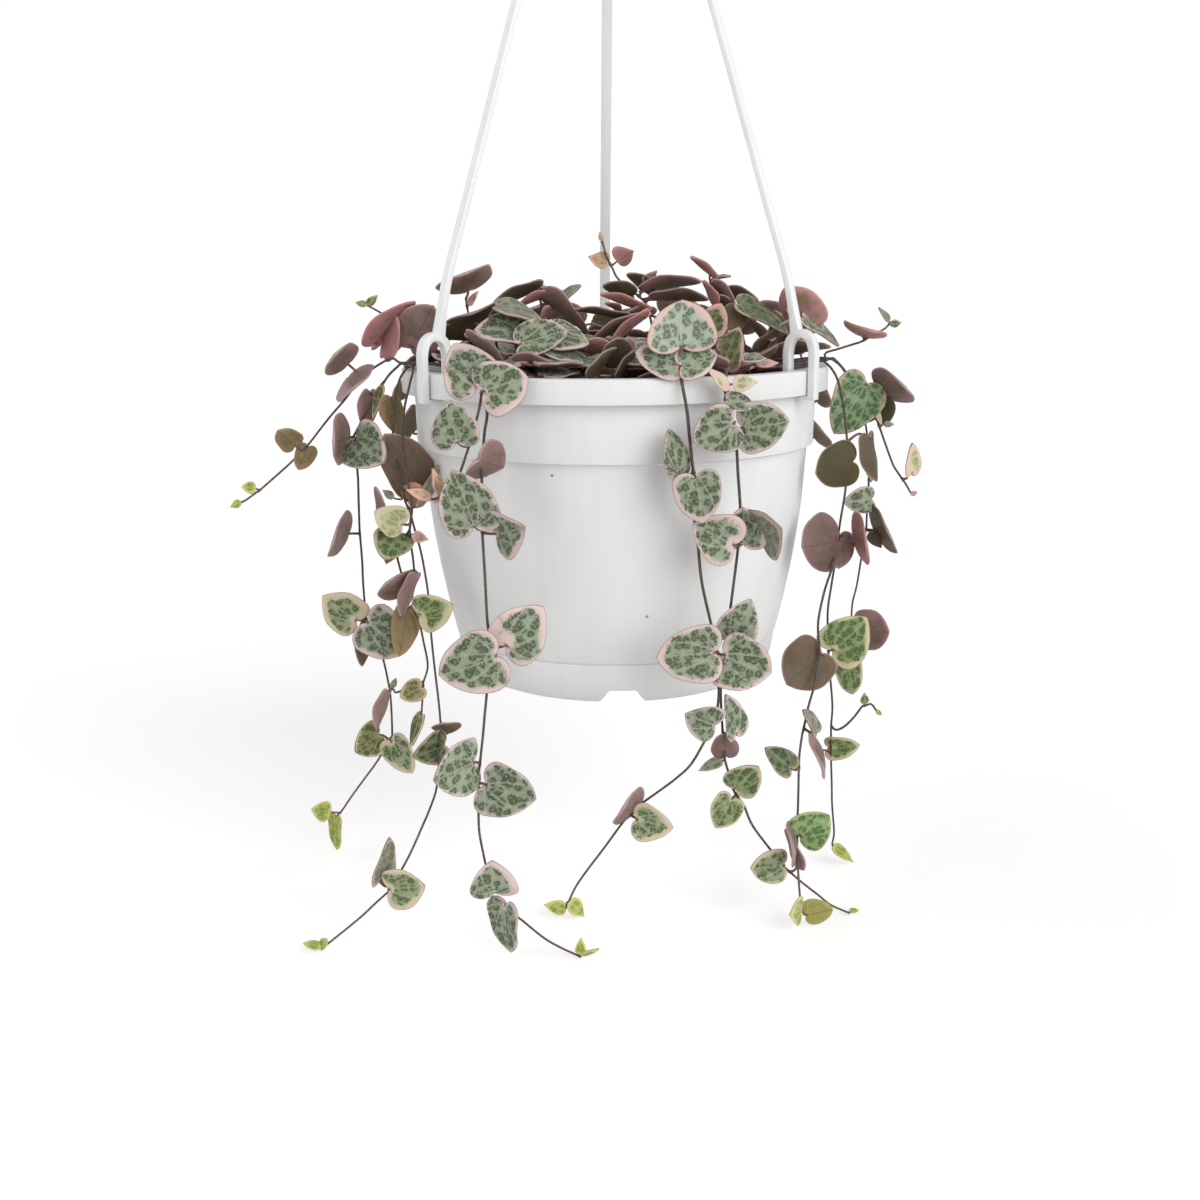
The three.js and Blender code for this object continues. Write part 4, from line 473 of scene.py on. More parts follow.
SHOOTS = [
    {
        "name": "shoot_left_edge",
        "root": (-52, -2),
        "stem": on_sheet(-15, [
            (-57, 3, -5), (-63, 5.4, -8), (-66, 7.5, -10), (-70, 14, -11), (-74.5, 17.8, -11),
            (-79, 20.3, -11),
        ]),
        "leaves": on_sheet(-15, [
            (-65.3, 7.6, -2, 57, 17, 16, 22, 180, "mauve"),
            (-73.6, 4.8, -1.5, 68, 12.6, 9, 0, 130, "pink"),
            (-77, 8.6, 1.5, 48, 18.6, 15, 0, -113, "pink"),
            (-60, 6, 0, 160, 13, 13, 0, 112, "brown"),
            (-55, 9, 1, 150, 13, 13, 0, 108, "mauve"),
            (-57, 4, -3, 190, 11, 11, 0, 112, "brown"),
            (-79, 20.3, 0, 165, 3.8, 2.6, 0, 20, "olive"),
            (-79, 20.5, 0, 36, 4.8, 3, 0, 20, "olive"),
        ]),
    },
    {
        "name": "shoot_left_back",
        "root": (-41, -2),
        "stem": on_sheet(-40, [
            (-42.5, 5, -8), (-44, 14, -12), (-45.2, 22.3, -14),
        ]),
        "leaves": on_sheet(-40, [
            (-44.4, 25.4, 0, 109, 13, 18.4, 68, 180, "mauve"),
            (-44.2, 20.5, -0.5, 62, 5, 3.2, 0, -40, "pink"),
            (-41.5, 15.5, -2, 112, 12, 18.5, 68, 180, "brown"),
            (-42, 12, -1, 178, 13, 12, 0, 118, "olive"),
        ]),
    },
    {
        "name": "shoot_left_middle",
        "root": (-22, -2),
        "stem": on_sheet(-40, [
            (-21.5, 6, -6), (-22, 14, -9), (-22.3, 19.5, -10), (-23.4, 24.8, -10),
        ]),
        "leaves": on_sheet(-40, [
            seen("under", at=(538, 287), way=197, long=47, broad=15, width=12, look="brown"),
            seen("under", at=(546, 296), way=193, long=30, broad=9, width=8, look="pink", off=-2),
            seen("top", at=(560, 301), way=42, long=25, broad=12, width=6, look="grey", off=1),
            seen("under", at=(546, 299), way=-37, long=54, broad=21, width=14, look="mauve", off=-2),
            seen("under", at=(550, 307), way=225, long=18, broad=8, width=6, look="pink", off=-3),
        ]),
    },
    {
        "name": "shoot_left_front",
        "root": (-33, -28),
        "stem": on_sheet(-40, [
            (-35, 3, -32), (-36.5, 10, -34), (-37.8, 14.6, -36),
        ]),
        "leaves": on_sheet(-40, [
            seen("top", at=(523, 336), way=168, long=50, broad=29, width=15, look="marbled_pink", off=-2.5),
            seen("under", at=(470, 338), way=-38, long=50, broad=14, width=12, look="mauve"),
            seen("top", at=(500, 308), way=-14, long=46, broad=14, width=13, look="grey", off=2.5),
            seen("under", at=(514, 338), way=-80, long=24, broad=8, width=7, look="brown", off=-1),
        ]),
    },
    {
        "name": "shoot_centre_front",
        "root": (-19, -36),
        "stem": on_sheet(-40, [
            (-19.4, 3, -40), (-19, 8, -41), (-18.4, 13.6, -42),
        ]),
        "leaves": on_sheet(-40, [
            seen("top", at=(521, 346), way=16, long=48, broad=33, width=15, look="marbled", off=-2.5),
            seen("top", at=(551, 336), way=-5, long=38, broad=30, width=14, look="marbled", off=1.5),
            seen("top", at=(548, 352), way=-14, long=47, broad=16, width=13, look="marbled", off=-2),
            seen("top", at=(563, 369), way=172, long=36, broad=11, width=12, look="dark", off=-1),
            seen("under", at=(519, 364), way=-12, long=61, broad=14, width=14, look="mauve", off=-5),
        ]),
    },
    {
        "name": "shoot_centre",
        "root": (0, -22),
        "stem": on_sheet(-40, [
            (0.5, 5, -27), (3, 11, -28), (7.6, 17, -29), (7.4, 20.5, -29),
        ]),
        "leaves": on_sheet(-40, [
            seen("under", at=(624, 320), way=163, long=52, broad=11, width=13, look="brown", off=2),
            seen("under", at=(642, 312), way=155, long=46, broad=12, width=12, look="pink"),
            seen("under", at=(632, 320), way=204, long=48, broad=12, width=13, look="mauve", off=-2),
            seen("under", at=(643, 318), way=214, long=50, broad=12, width=13, look="pink", off=-4.5),
            seen("under", at=(645, 312), way=185, long=25, broad=9, width=9, look="mauve", off=0.5),
            seen("under", at=(620, 312), way=150, long=18, broad=10, width=8, look="pink", off=3),
            seen("top", at=(590, 323), way=-20, long=22, broad=7, width=7, look="grey", off=3),
        ]),
    },
    {
        "name": "shoot_centre_low",
        "root": (1, -48),
        "stem": on_sheet(-40, [
            (0.6, 0.8, -54),
        ]),
        "leaves": on_sheet(-40, [
            seen("under", at=(593, 378), way=58, long=36, broad=17, width=11, look="brown", off=-3),
            seen("under", at=(619, 378), way=63, long=31, broad=15, width=10, look="brown", off=-3),
            (0.8, 2.6, 2, 95, 10, 10, 30, 180, "brown"),
        ]),
    },
    {
        "name": "shoot_twig",
        "root": (14, 18),
        "stem": on_sheet(-40, [
            (12, 8, 10), (10.5, 16, 10), (9, 21, 10), (5.5, 24, 10), (0.7, 28, 10), (-2.5, 34, 10),
            (-4, 39, 10),
        ]),
        "leaves": on_sheet(-40, [
            seen("top", at=(608, 265), way=155, long=22, broad=20, width=6.2, look="pink_tip"),
            seen("under", at=(616, 263), way=40, long=20, broad=26, width=8.2, look="pink"),
            seen("under", at=(630, 296), way=160, long=30, broad=20, width=11, look="brown", off=2),
            seen("under", at=(648, 292), way=140, long=28, broad=16, width=11, look="brown", off=3),
            seen("under", at=(645, 287), way=60, long=18, broad=17, width=8, look="mauve", off=2),
            seen("under", at=(645, 290), way=13, long=55, broad=13, width=14, look="mauve"),
            seen("under", at=(655, 300), way=2, long=52, broad=12, width=13, look="mauve", off=-2),
            (-4, 39, 0, 105, 3, 1.8, 0, 0, "pink_tip"),
        ]),
    },
    {
        "name": "shoot_right_middle",
        "root": (31, 0),
        "stem": on_sheet(-40, [
            (30.8, 8, -4), (30.4, 14, -5), (29.6, 20.5, -6), (28.2, 28.4, -6),
        ]),
        "leaves": on_sheet(-40, [
            seen("under", at=(711, 277), way=137, long=29, broad=9, width=6, look="pink"),
            seen("top", at=(712, 281), way=14, long=17, broad=5, width=4.4, look="grey"),
            seen("under", at=(712, 304), way=112, long=24, broad=11, width=7, look="pink", off=-1.5),
            seen("under", at=(712, 286), way=-40, long=30, broad=10, width=8, look="mauve", off=-0.5),
            seen("under", at=(722, 296), way=-8, long=36, broad=13, width=11, look="brown", off=2),
            seen("under", at=(713, 301), way=-20, long=26, broad=10, width=9, look="mauve", off=1),
        ]),
    },
    {
        "name": "shoot_right_front",
        "root": (35, -38),
        "stem": on_sheet(-40, [
            (32.4, 2, -46), (30.6, 6.5, -47), (28.6, 12.6, -47),
        ]),
        "leaves": on_sheet(-40, [
            (28.4, 12.8, 1, 62, 8.4, 9, 10, 0, "rosy_green"),
            (33.2, 2, -1.5, 76, 12, 10.4, 0, -30, "rosy_green"),
            (38, 3.6, -1, 8, 8, 4.6, 0, -50, "mauve"),
            (42.6, 2.2, -2, 4, 7, 4.4, 0, -50, "pink"),
        ]),
    },
    {
        "name": "shoot_right_back",
        "root": (42, -14),
        "stem": on_sheet(-40, [
            (39.6, 6, -20), (38, 13, -22), (37.8, 19, -23),
        ]),
        "leaves": on_sheet(-40, [
            seen("top", at=(740, 308), way=-25, long=55, broad=20, width=13.5, look="dark", off=-2),
            (36.4, 19.2, -2, -92, 8, 7.4, 10, 180, "brown"),
            (44, 7, 1, 38, 15, 13, 0, -114, "umber"),
            (47.5, 5, 2, 22, 12, 12, 0, -118, "brown"),
            (47.4, 9, -1, 95, 5, 4, 0, 40, "pink"),
        ]),
    },
    {
        "name": "shoot_right_edge",
        "root": (51, 2),
        "stem": on_sheet(-15, [
            (57, 6, -2), (60.4, 10, -6), (62.2, 12.8, -9),
        ]),
        "leaves": on_sheet(-15, [
            # Its underside is the mauve painted lighter, as a painted highlight.
            seen(
                "under", at=(811, 324), way=118, long=44, broad=42, width=15.5, look="soft_mauve",
                sheet=-15,
            ),
            seen(
                "top", at=(808, 321), way=-32, long=42, broad=17, width=12.5, look="marbled", off=-3,
                sheet=-15,
            ),
            (60.4, 9.8, -3.5, 118, 10, 5.6, 0, 60, "pink"),
            (53, 6, 0, 30, 13, 13, 0, -112, "brown"),
            (57, 4.5, -2, 10, 12, 12, 0, -110, "mauve"),
            (50, 8, 2, 42, 12, 12, 0, -115, "brown"),
        ]),
    },
]


# Hanging stems at the back: angle on the rim, how far they hang, how far down the first pair of
# leaves is, and the step between pairs.
BACK_VINES = [
    ("vine_back_left", 122, 84, 13, 19),
    ("vine_back_middle_left", 105, 98, 25, 22),
    ("vine_back_middle", 84, 68, 17, 20),
    ("vine_back_right", 66, 90, 30, 19),
    ("vine_side_left", 157, 35, 11, 14),
    ("vine_side_right", 24, 39, 15, 14),
]
# Shoots at the back: where they leave the soil, how high they rise, and how far they lean out.
BACK_SHOOTS = [
    ("shoot_back_a", -46, 22, 13, 7),
    ("shoot_back_b", -28, 40, 17, 6),
    ("shoot_back_c", -8, 48, 14, 7),
    ("shoot_back_d", 14, 50, 17, 7),
    ("shoot_back_e", 34, 40, 13, 7),
    ("shoot_back_f", 51, 13, 15, 7),
    ("shoot_back_g", -22, 18, 18, 3),
    ("shoot_back_h", 34, 20, 18, 3),
]
FILLER_SHOOTS = 24
FILLER_SPREAD = 55
FILLER_TURN = 137.5
FILLER_DOME = 62
FILLER_LAY = 0.75
FILLER_LAY_BEFORE = 12
# Two of the filler's looks are the mauve painted lighter, a painted highlight for top light on the crown.
FILLER_LOOKS = ["brown", "marbled", "mauve", "soft_mauve", "mauve", "marbled_pink", "soft_mauve"]
BACK_LOOKS = [
    "marbled", "marbled_pink", "marbled_cream", "marbled", "grey", "wide_pink", "green", "marbled",
]


def turned_about(vector, axis, angle):
    return Matrix.Rotation(angle, 3, axis) @ vector


def leaf_from(row, paths):
    """The leaf that a row describes, with its root on the stem nearest to it as seen from the front."""
    sheet, x, z, off, way, length, width, forward, roll, look = row
    line = (pushed(sheet, x, z, sheet) - EYE).normalized()
    root, nearest = None, math.inf
    for path in paths:
        for start, end in zip(path, path[1:]):
            for k in range(9):
                spot = start.lerp(end, k / 8)
                to_spot = spot - EYE
                miss = (to_spot - line * to_spot.dot(line)).length
                if miss < nearest - 1e-9:
                    nearest, root = miss, spot
    base = pushed(sheet, x, z, root.y + off)
    share = (base.y - EYE.y) / (sheet - EYE.y)
    way, forward = math.radians(way), math.radians(forward)
    ahead = Vector((
        math.cos(way) * math.cos(forward),
        -math.sin(forward),
        math.sin(way) * math.cos(forward),
    ))
    face = Vector((0, -1, 0))
    face = turned_about((face - ahead * face.dot(ahead)).normalized(), ahead, math.radians(roll))
    return {
        "root": root, "base": base, "ahead": ahead, "face": face,
        "length": length * share, "width": width * share, "look": look,
    }


def seeded(seed):
    """The same draws, in the same order, as the solids were laid out with."""
    whole = 0xFFFFFFFF
    state = seed

    def draw():
        nonlocal state
        state = (state + 0x6D2B79F5) & whole
        t = ((state ^ (state >> 15)) * (1 | state)) & whole
        t = ((t + (((t ^ (t >> 7)) * (61 | t)) & whole)) & whole) ^ t
        return (t ^ (t >> 14)) / 4294967296
    return draw


def leaf_on_node(root, out, side, tilt, swing, length, width, petiole, look):
    up = Vector((0, 0, 1))
    reach = (out * 0.55 + side * 0.85 + up * 0.1).normalized()
    face = (out * math.cos(tilt) + up * math.sin(tilt)).normalized()
    level = (side - face * side.dot(face)).normalized()
    return {
        "root": root, "base": root + reach * petiole, "ahead": turned_about(level, face, swing),
        "face": face, "length": length, "width": width, "look": look,
    }


def back_vine(angle, hang, first, step, draw):
    out = polar(angle, 1, 0)
    side = Vector((-out.y, out.x, 0))
    path = over_rim(angle, angle, 47) + [polar(angle, 72, 0), polar(angle, 72.8, -6)]
    leaves = []
    drift = (draw() - 0.5) * 0.12
    drop, knots = first, 0
    while drop < hang:
        sway = drift * drop + (draw() - 0.5) * 1.6
        knot = polar(angle, 73.4 + draw() * 1.2 - drop * 0.012, -drop) + side * sway
        path.append(knot)
        if knots % 2 == 0:
            young = 1 - 0.5 * (drop / hang) ** 3
            for way in (1, -1):
                length = (12 + draw() * 4) * young
                width = length * (1.05 + draw() * 0.12)
                tilt = 0.1 + draw() * 0.6
                swing = way * (0.2 + draw() * 1.1)
                petiole = 3.6 + draw() * 1.6
                look = BACK_LOOKS[int(length * 97) % len(BACK_LOOKS)]
                leaves.append(leaf_on_node(
                    knot, out, side * way, tilt, swing, length, width, petiole, look,
                ))
        drop += step / 2 * (0.88 + draw() * 0.24)
        knots += 1
    return path, leaves


def back_shoot(x, y, rise, lean, draw, lay=0):
    out = Vector((x, y, 0)).normalized()
    side = Vector((-out.y, out.x, 0))
    path = over_soil(x, y)
    leaves = []
    for share in (0.45, 1):
        knot = Vector((x, y, SOIL_TOP + 1.2 + rise * share)) + out * (lean * share * share)
        knot += side * ((draw() - 0.5) * 3)
        path.append(knot)
        for way in (1, -1):
            length = 11 + draw() * 4.5
            width = length * (1.05 + draw() * 0.15)
            tilt = 0.55 + draw() * 0.8
            swing = way * (draw() * 1.5 - 0.3)
            petiole = 3.4 + draw() * 2
            look = BACK_LOOKS[int(length * 97) % len(BACK_LOOKS)]
            leaves.append(leaf_on_node(
                knot, out, side * way, tilt + lay, swing, length, width, petiole, look,
            ))
    return path, leaves


def crown_filler(draw):
    """Short shoots all over the soil, that fill the crown from within."""
    paths, leaves = [], []
    for i in range(FILLER_SHOOTS):
        radius = FILLER_SPREAD * math.sqrt((i + 0.5) / FILLER_SHOOTS)
        root = polar(FILLER_TURN * i + draw() * 14, radius, 0)
        dome = 1 - (radius / FILLER_DOME) ** 2
        lay = FILLER_LAY if root.y < FILLER_LAY_BEFORE else 0
        path, shoot_leaves = back_shoot(root.x, root.y, 5 + draw() * 7 * dome, 1 + 3 * draw(), draw, lay)
        paths.append(path)
        leaves += shoot_leaves
    for leaf in leaves:
        leaf["look"] = FILLER_LOOKS[int(draw() * len(FILLER_LOOKS))]
    return paths[0], paths[1:], leaves


def laid_out_plants():
    """Every stem of the plant: its name, its main path, its side twigs and its leaves."""
    plants = []
    for vine in VINES:
        path = vine["start"] + [pushed(*row) for row in vine["stem"]]
        twigs = [[pushed(*row) for row in rows] for rows in vine.get("branches", [])]
        leaves = [leaf_from(row, [path, *twigs]) for row in vine["leaves"]]
        plants.append((vine["name"], path, twigs, leaves))
    for shoot in SHOOTS:
        path = over_soil(*shoot["root"]) + [pushed(*row) for row in shoot["stem"]]
        plants.append((shoot["name"], path, [], [leaf_from(row, [path]) for row in shoot["leaves"]]))
    draw = seeded(SEED)
    for name, angle, hang, first, step in BACK_VINES:
        path, leaves = back_vine(angle, hang, first, step, draw)
        plants.append((name, path, [], leaves))
    for name, x, y, rise, lean in BACK_SHOOTS:
        path, leaves = back_shoot(x, y, rise, lean, draw)
        plants.append((name, path, [], leaves))
    plants.append(("crown_filler", *crown_filler(draw)))
    return plants


# ---- leaf looks ----------------------------------------------------------------------------------
SILVER = (158, 166, 142)
DEEP = (66, 80, 55)
PINK = (224, 199, 195)
CREAM = (224, 212, 180)
MAUVE = (132, 109, 105)
BROWN = (86, 74, 57)
OLIVE = (54, 53, 20)
ROSE = (160, 116, 114)
# How much lighter and pinker the underside gets towards its rim and in its mottles: partly the leaf's own
# rose, partly a painted highlight.
ROSE_AND_HIGHLIGHT_LIFT = (1.5, 1.24, 1.4)
BROWN_SHADE = (0.66, 0.72, 0.52)
# Ground, blotches, margin, underside, margin's width as a share of the leaf's length, and how solid
# the blotches are: 0 is an open ring, 1 is a full patch.
LOOKS = {
    "pale_marble": ((182, 192, 172), (92, 104, 86), (224, 194, 182), MAUVE, 0.09, 0.2),
    "rosy_green": ((126, 126, 92), (78, 82, 52), (216, 176, 160), BROWN, 0.1, 0.5),
    "marbled": (SILVER, DEEP, PINK, MAUVE, 0.036, 0.15),
    "marbled_pink": (SILVER, DEEP, PINK, MAUVE, 0.066, 0.1),
    "wide_pink": (SILVER, DEEP, PINK, MAUVE, 0.12, 0.1),
    "one_side_pink": (SILVER, DEEP, PINK, MAUVE, 0.09, 0.2),
    "marbled_cream": ((154, 164, 128), (74, 88, 54), (212, 196, 168), MAUVE, 0.09, 0.3),
    "grey": ((146, 148, 128), (104, 108, 88), (194, 170, 156), (116, 98, 90), 0.05, 0.4),
    "mauve": (SILVER, DEEP, PINK, MAUVE, 0.08, 0.2),
    "deep_mauve": (SILVER, DEEP, PINK, (108, 87, 83), 0.08, 0.2),
    # This underside is the mauve painted lighter and pinker, a painted highlight that stands for top light on
    # the crown's undersides.
    "soft_mauve": (SILVER, DEEP, PINK, (172, 134, 130), 0.08, 0.2),
    "brown": ((146, 146, 112), (82, 88, 58), PINK, BROWN, 0.07, 0.4),
    "umber": ((146, 146, 112), (82, 88, 58), PINK, (112, 95, 80), 0.07, 0.4),
    "fawn": ((150, 146, 104), (92, 94, 58), (206, 178, 142), (136, 120, 84), 0.08, 0.4),
    "olive": ((140, 142, 96), (78, 84, 46), CREAM, OLIVE, 0.06, 0.4),
    "pink": ((200, 160, 146), (150, 116, 104), (220, 180, 168), ROSE, 0.16, 0.3),
    "pink_tip": ((204, 172, 142), (160, 132, 104), (222, 182, 160), (190, 146, 124), 0.12, 0.3),
    "cream": ((208, 206, 164), (158, 162, 108), (228, 216, 186), (180, 166, 128), 0.16, 0.5),
    "cream_pink": ((204, 202, 164), (152, 160, 112), (228, 202, 182), (182, 156, 132), 0.18, 0.5),
    "cream_green": ((144, 158, 108), (72, 96, 50), (212, 202, 164), (108, 96, 70), 0.1, 0.6),
    "green": ((142, 154, 110), (70, 92, 52), (204, 190, 158), (104, 92, 70), 0.05, 0.7),
    "bright": ((146, 166, 126), (68, 98, 60), (208, 182, 160), MAUVE, 0.045, 0.5),
    "green_veined": ((158, 180, 124), (78, 114, 62), (188, 194, 138), (110, 104, 72), 0.03, 1),
    "dark": ((108, 118, 84), (56, 72, 44), (182, 164, 136), (76, 70, 48), 0.045, 0.8),
    "lime": ((176, 184, 96), (122, 142, 62), (206, 202, 126), (156, 158, 86), 0.08, 0.7),
    "pale_lime": ((198, 202, 136), (150, 164, 94), (220, 214, 162), (176, 176, 116), 0.1, 0.7),
}


# ---- node trees ----------------------------------------------------------------------------------
class Tree:
    """A node tree that is put together by short calls; a node's output can be given as a value."""

    def __init__(self, tree):
        self.tree = tree

    def add(self, kind, values=None, **settings):
        node = self.tree.nodes.new(kind)
        for name, value in settings.items():
            setattr(node, name, value)
        for key, value in (values or {}).items():
            self.put(node.inputs[key], value)
        return node

    def put(self, socket, value):
        if isinstance(value, bpy.types.Node):
            value = next(output for output in value.outputs if output.enabled)
        if isinstance(value, bpy.types.NodeSocket):
            self.tree.links.new(value, socket)
        elif value is not None:
            socket.default_value = value

    def math(self, operation, first, second=None, third=None, clamp=False):
        inputs = {0: first, 1: second, 2: third}
        return self.add("ShaderNodeMath", inputs, operation=operation, use_clamp=clamp).outputs[0]

    def product(self, first, *others):
        for other in others:
            first = self.math("MULTIPLY", first, other)
        return first

    def total(self, first, *others):
        for other in others:
            first = self.math("ADD", first, other)
        return first

    def split(self, value):
        return self.add("ShaderNodeSeparateXYZ", {0: value}).outputs

    def rest(self, share):
        """What a share leaves of one."""
        return self.math("SUBTRACT", 1.0, share)

    def vector(self, operation, first, second=None, scale=None):
        node = self.add("ShaderNodeVectorMath", {0: first, 1: second}, operation=operation)
        if scale is not None:
            self.put(node.inputs["Scale"], scale)
        value = operation in ("DOT_PRODUCT", "LENGTH", "DISTANCE")
        return node.outputs["Value" if value else "Vector"]


def geometry_tree(name, sockets):
    """A Geometry Nodes tree with a geometry input and output and the named inputs asked for."""
    group = bpy.data.node_groups.new(name, "GeometryNodeTree")
    group.interface.new_socket("Geometry", in_out="INPUT", socket_type="NodeSocketGeometry")
    for label, kind in sockets.items():
        group.interface.new_socket(label, in_out="INPUT", socket_type=kind)
    group.interface.new_socket("Geometry", in_out="OUTPUT", socket_type="NodeSocketGeometry")
    tree = Tree(group)
    return tree, tree.add("NodeGroupInput").outputs, tree.add("NodeGroupOutput").inputs[0]


def evaluated(name, mesh, tree, values):
    """The plain mesh object that a Geometry Nodes tree makes of a mesh."""
    thing = linked(name, mesh)
    modifier = thing.modifiers.new("rule", "NODES")
    modifier.node_group = tree
    for item in tree.interface.items_tree:
        if item.item_type == "SOCKET" and item.in_out == "INPUT" and item.name in values:
            modifier[item.identifier] = values[item.name]
    bpy.context.view_layer.update()
    shape = bpy.data.meshes.new_from_object(thing.evaluated_get(bpy.context.evaluated_depsgraph_get()))
    thing.modifiers.clear()
    thing.data = shape
    bpy.data.meshes.remove(mesh)
    shape.name = name
    return thing


# ---- the leaf sheet: a unit leaf that every leaf is formed from ------------------------------------
# Half of an outline, along the midrib and across it, as shares of the length and of the half width.
TIP_TAPER = 0.3
ROUND_LOOKS = ("mauve", "deep_mauve", "soft_mauve", "brown", "umber", "fawn", "olive", "pale_marble")
EDGE_WAVE = 0.022
SIDE_WAVE = 0.035
MIDRIB_BOW = 0.14
HEART_HALF = [
    (0, 0), (-0.07, 0.07), (-0.13, 0.2), (-0.16, 0.42), (-0.14, 0.64), (-0.07, 0.84), (0.06, 0.97),
    (0.22, 1), (0.4, 0.96), (0.57, 0.86), (0.72, 0.71), (0.84, 0.52), (0.93, 0.31), (0.98, 0.13), (1.01, 0),
]
YOUNG_HALF = [
    (0, 0), (0, 0.28), (0.05, 0.6), (0.18, 0.86), (0.36, 0.94), (0.56, 0.82), (0.74, 0.55),
    (0.88, 0.26), (1, 0),
]
OUTLINE_STEPS = 20
SHEET_RINGS = (0, 0.28, 0.52, 0.72, 0.87, 0.96, 1)


def smooth_line(points, steps):
    """A curve through the points, as evenly spaced points."""
    points = [Vector(point) for point in points]
    dense = []
    for i in range(len(points) - 1):
        before = points[max(i - 1, 0)]
        start, end = points[i], points[i + 1]
        after = points[min(i + 2, len(points) - 1)]
        for k in range(12):
            t = k / 12
            dense.append((
                start * 2 + (end - before) * t + (before * 2 - start * 5 + end * 4 - after) * t * t
                + (start * 3 - before - end * 3 + after) * t ** 3
            ) / 2)
    dense.append(points[-1])
    lengths = [0]
    for start, end in zip(dense, dense[1:]):
        lengths.append(lengths[-1] + (end - start).length)
    result, at = [], 0
    for step in range(steps + 1):
        goal = lengths[-1] * step / steps
        while at < len(dense) - 2 and lengths[at + 1] < goal:
            at += 1
        span = lengths[at + 1] - lengths[at] or 1
        result.append(dense[at].lerp(dense[at + 1], (goal - lengths[at]) / span))
    return result


def leaf_sheet(name, half):
    """A closed sheet: x runs along the midrib, y across it, and z is its share of the thickness."""
    outline = smooth_line(half, OUTLINE_STEPS)
    rim = [Vector((u, v / 2)) for u, v in outline]

    def inset(u, v):
        spot = Vector((u, abs(v) / 2))
        return min(near_line(spot, a, b) for a, b in zip(rim, rim[1:]))

    sheet = bmesh.new()
    for side in (1, -1):
        for lift in (1, -1):
            rows = []
            for u, v in outline:
                spine = min(max(u * 0.92 + 0.02, 0), 0.97)
                row = []
                for share in SHEET_RINGS:
                    thick = math.sqrt(1 - share ** 4)
                    row.append(sheet.verts.new((
                        spine + (u - spine) * share, v * share * side,
                        thick * (0.4 if lift > 0 else -0.6),
                    )))
                rows.append(row)
            for low, high in zip(rows, rows[1:]):
                for i in range(len(SHEET_RINGS) - 1):
                    corners = [low[i], low[i + 1], high[i + 1], high[i]]
                    sheet.faces.new(corners if side * lift > 0 else corners[::-1])
    bmesh.ops.remove_doubles(sheet, verts=sheet.verts, dist=1e-4)
    bmesh.ops.recalc_face_normals(sheet, faces=sheet.faces)
    mesh = bpy.data.meshes.new(name)
    sheet.to_mesh(mesh)
    sheet.free()
    smooth(mesh)
    depth = mesh.attributes.new("inset", "FLOAT", "POINT")
    depth.data.foreach_set("value", [inset(vertex.co.x, vertex.co.y) for vertex in mesh.vertices])
    return linked(name, mesh)


def near_line(spot, start, end):
    along = end - start
    share = max(0, min(1, (spot - start).dot(along) / max(along.length_squared, 1e-12)))
    return (spot - start - along * share).length


# ---- growth: one tree forms the stems, petioles and leaves of a plant ------------------------------
VECTOR_MARKS = (
    "base", "ahead", "face", "leaf_size", "leaf_bend", "ground", "blotch", "margin", "under", "pattern",
)
NUMBER_MARKS = ("thickness", "tint", "leaf_kind", "leaf_seed", "taper")


def named(tree, name, kind="FLOAT_VECTOR"):
    return tree.add("GeometryNodeInputNamedAttribute", {"Name": name}, data_type=kind).outputs["Attribute"]


def stem_tubes(tree, given):
    """Stems and petioles, round and smooth along their paths."""
    curve = tree.add("GeometryNodeMeshToCurve", {"Mesh": given["Geometry"]})
    curve = tree.add("GeometryNodeCurveSplineType", {"Curve": curve}, spline_type="CATMULL_ROM")
    curve = tree.add("GeometryNodeResampleCurve", {
        "Curve": curve, "Length": given["Stem step"],
    }, mode="LENGTH")
    ring = tree.add("GeometryNodeCurvePrimitiveCircle", {"Resolution": given["Stem sides"], "Radius": 1.0})
    tube = tree.add("GeometryNodeCurveToMesh", {
        "Curve": curve, "Profile Curve": ring.outputs["Curve"], "Scale": named(tree, "thickness", "FLOAT"),
        "Fill Caps": True,
    })
    tube = tree.add("GeometryNodeSetShadeSmooth", {"Geometry": tube})
    return tree.add("GeometryNodeSetMaterial", {"Geometry": tube, "Material": given["Stem material"]})


def sheet_copies(tree, given):
    """One sheet on each leaf point, heart shaped or young."""
    kind = named(tree, "leaf_kind", "FLOAT")
    sheets = tree.add("GeometryNodeJoinGeometry")
    for number, label in ((1, "Heart sheet"), (2, "Young sheet")):
        sheet = tree.add("GeometryNodeObjectInfo", {"Object": given[label]}).outputs["Geometry"]
        chosen = tree.add(
            "FunctionNodeCompare", {"A": kind, "B": float(number), "Epsilon": 0.1},
            data_type="FLOAT", operation="EQUAL",
        )
        copies = tree.add("GeometryNodeInstanceOnPoints", {
            "Points": given["Geometry"], "Selection": chosen, "Instance": sheet,
        })
        tree.put(sheets.inputs[0], copies)
    return tree.add("GeometryNodeRealizeInstances", {"Geometry": sheets})


def wave_of(tree, along, waves, seed, apart):
    """A sine along the leaf, that starts elsewhere on each leaf."""
    return tree.math("SINE", tree.total(tree.product(along, waves), tree.product(seed, apart)))


def leaf_reach(tree, along, across, size, seed):
    """How far a point of a leaf stands sideways: a tapered tip, a wavy edge and a bowed midrib."""
    half_width = tree.product(size[1], 0.5)
    tip = tree.math("POWER", tree.math("MAXIMUM", along, 0.0), 3.0)
    edge = tree.product(tree.total(wave_of(tree, along, 8.0, seed, 90.0), across), EDGE_WAVE)
    girth = tree.total(tree.rest(tree.product(tip, named(tree, "taper", "FLOAT"))), edge)
    bow = tree.product(tree.math("SINE", tree.product(seed, 130.0)), MIDRIB_BOW)
    bow = tree.product(tree.product(bow, along), tree.product(along, half_width))
    return tree.total(tree.product(across, half_width, girth), bow), half_width


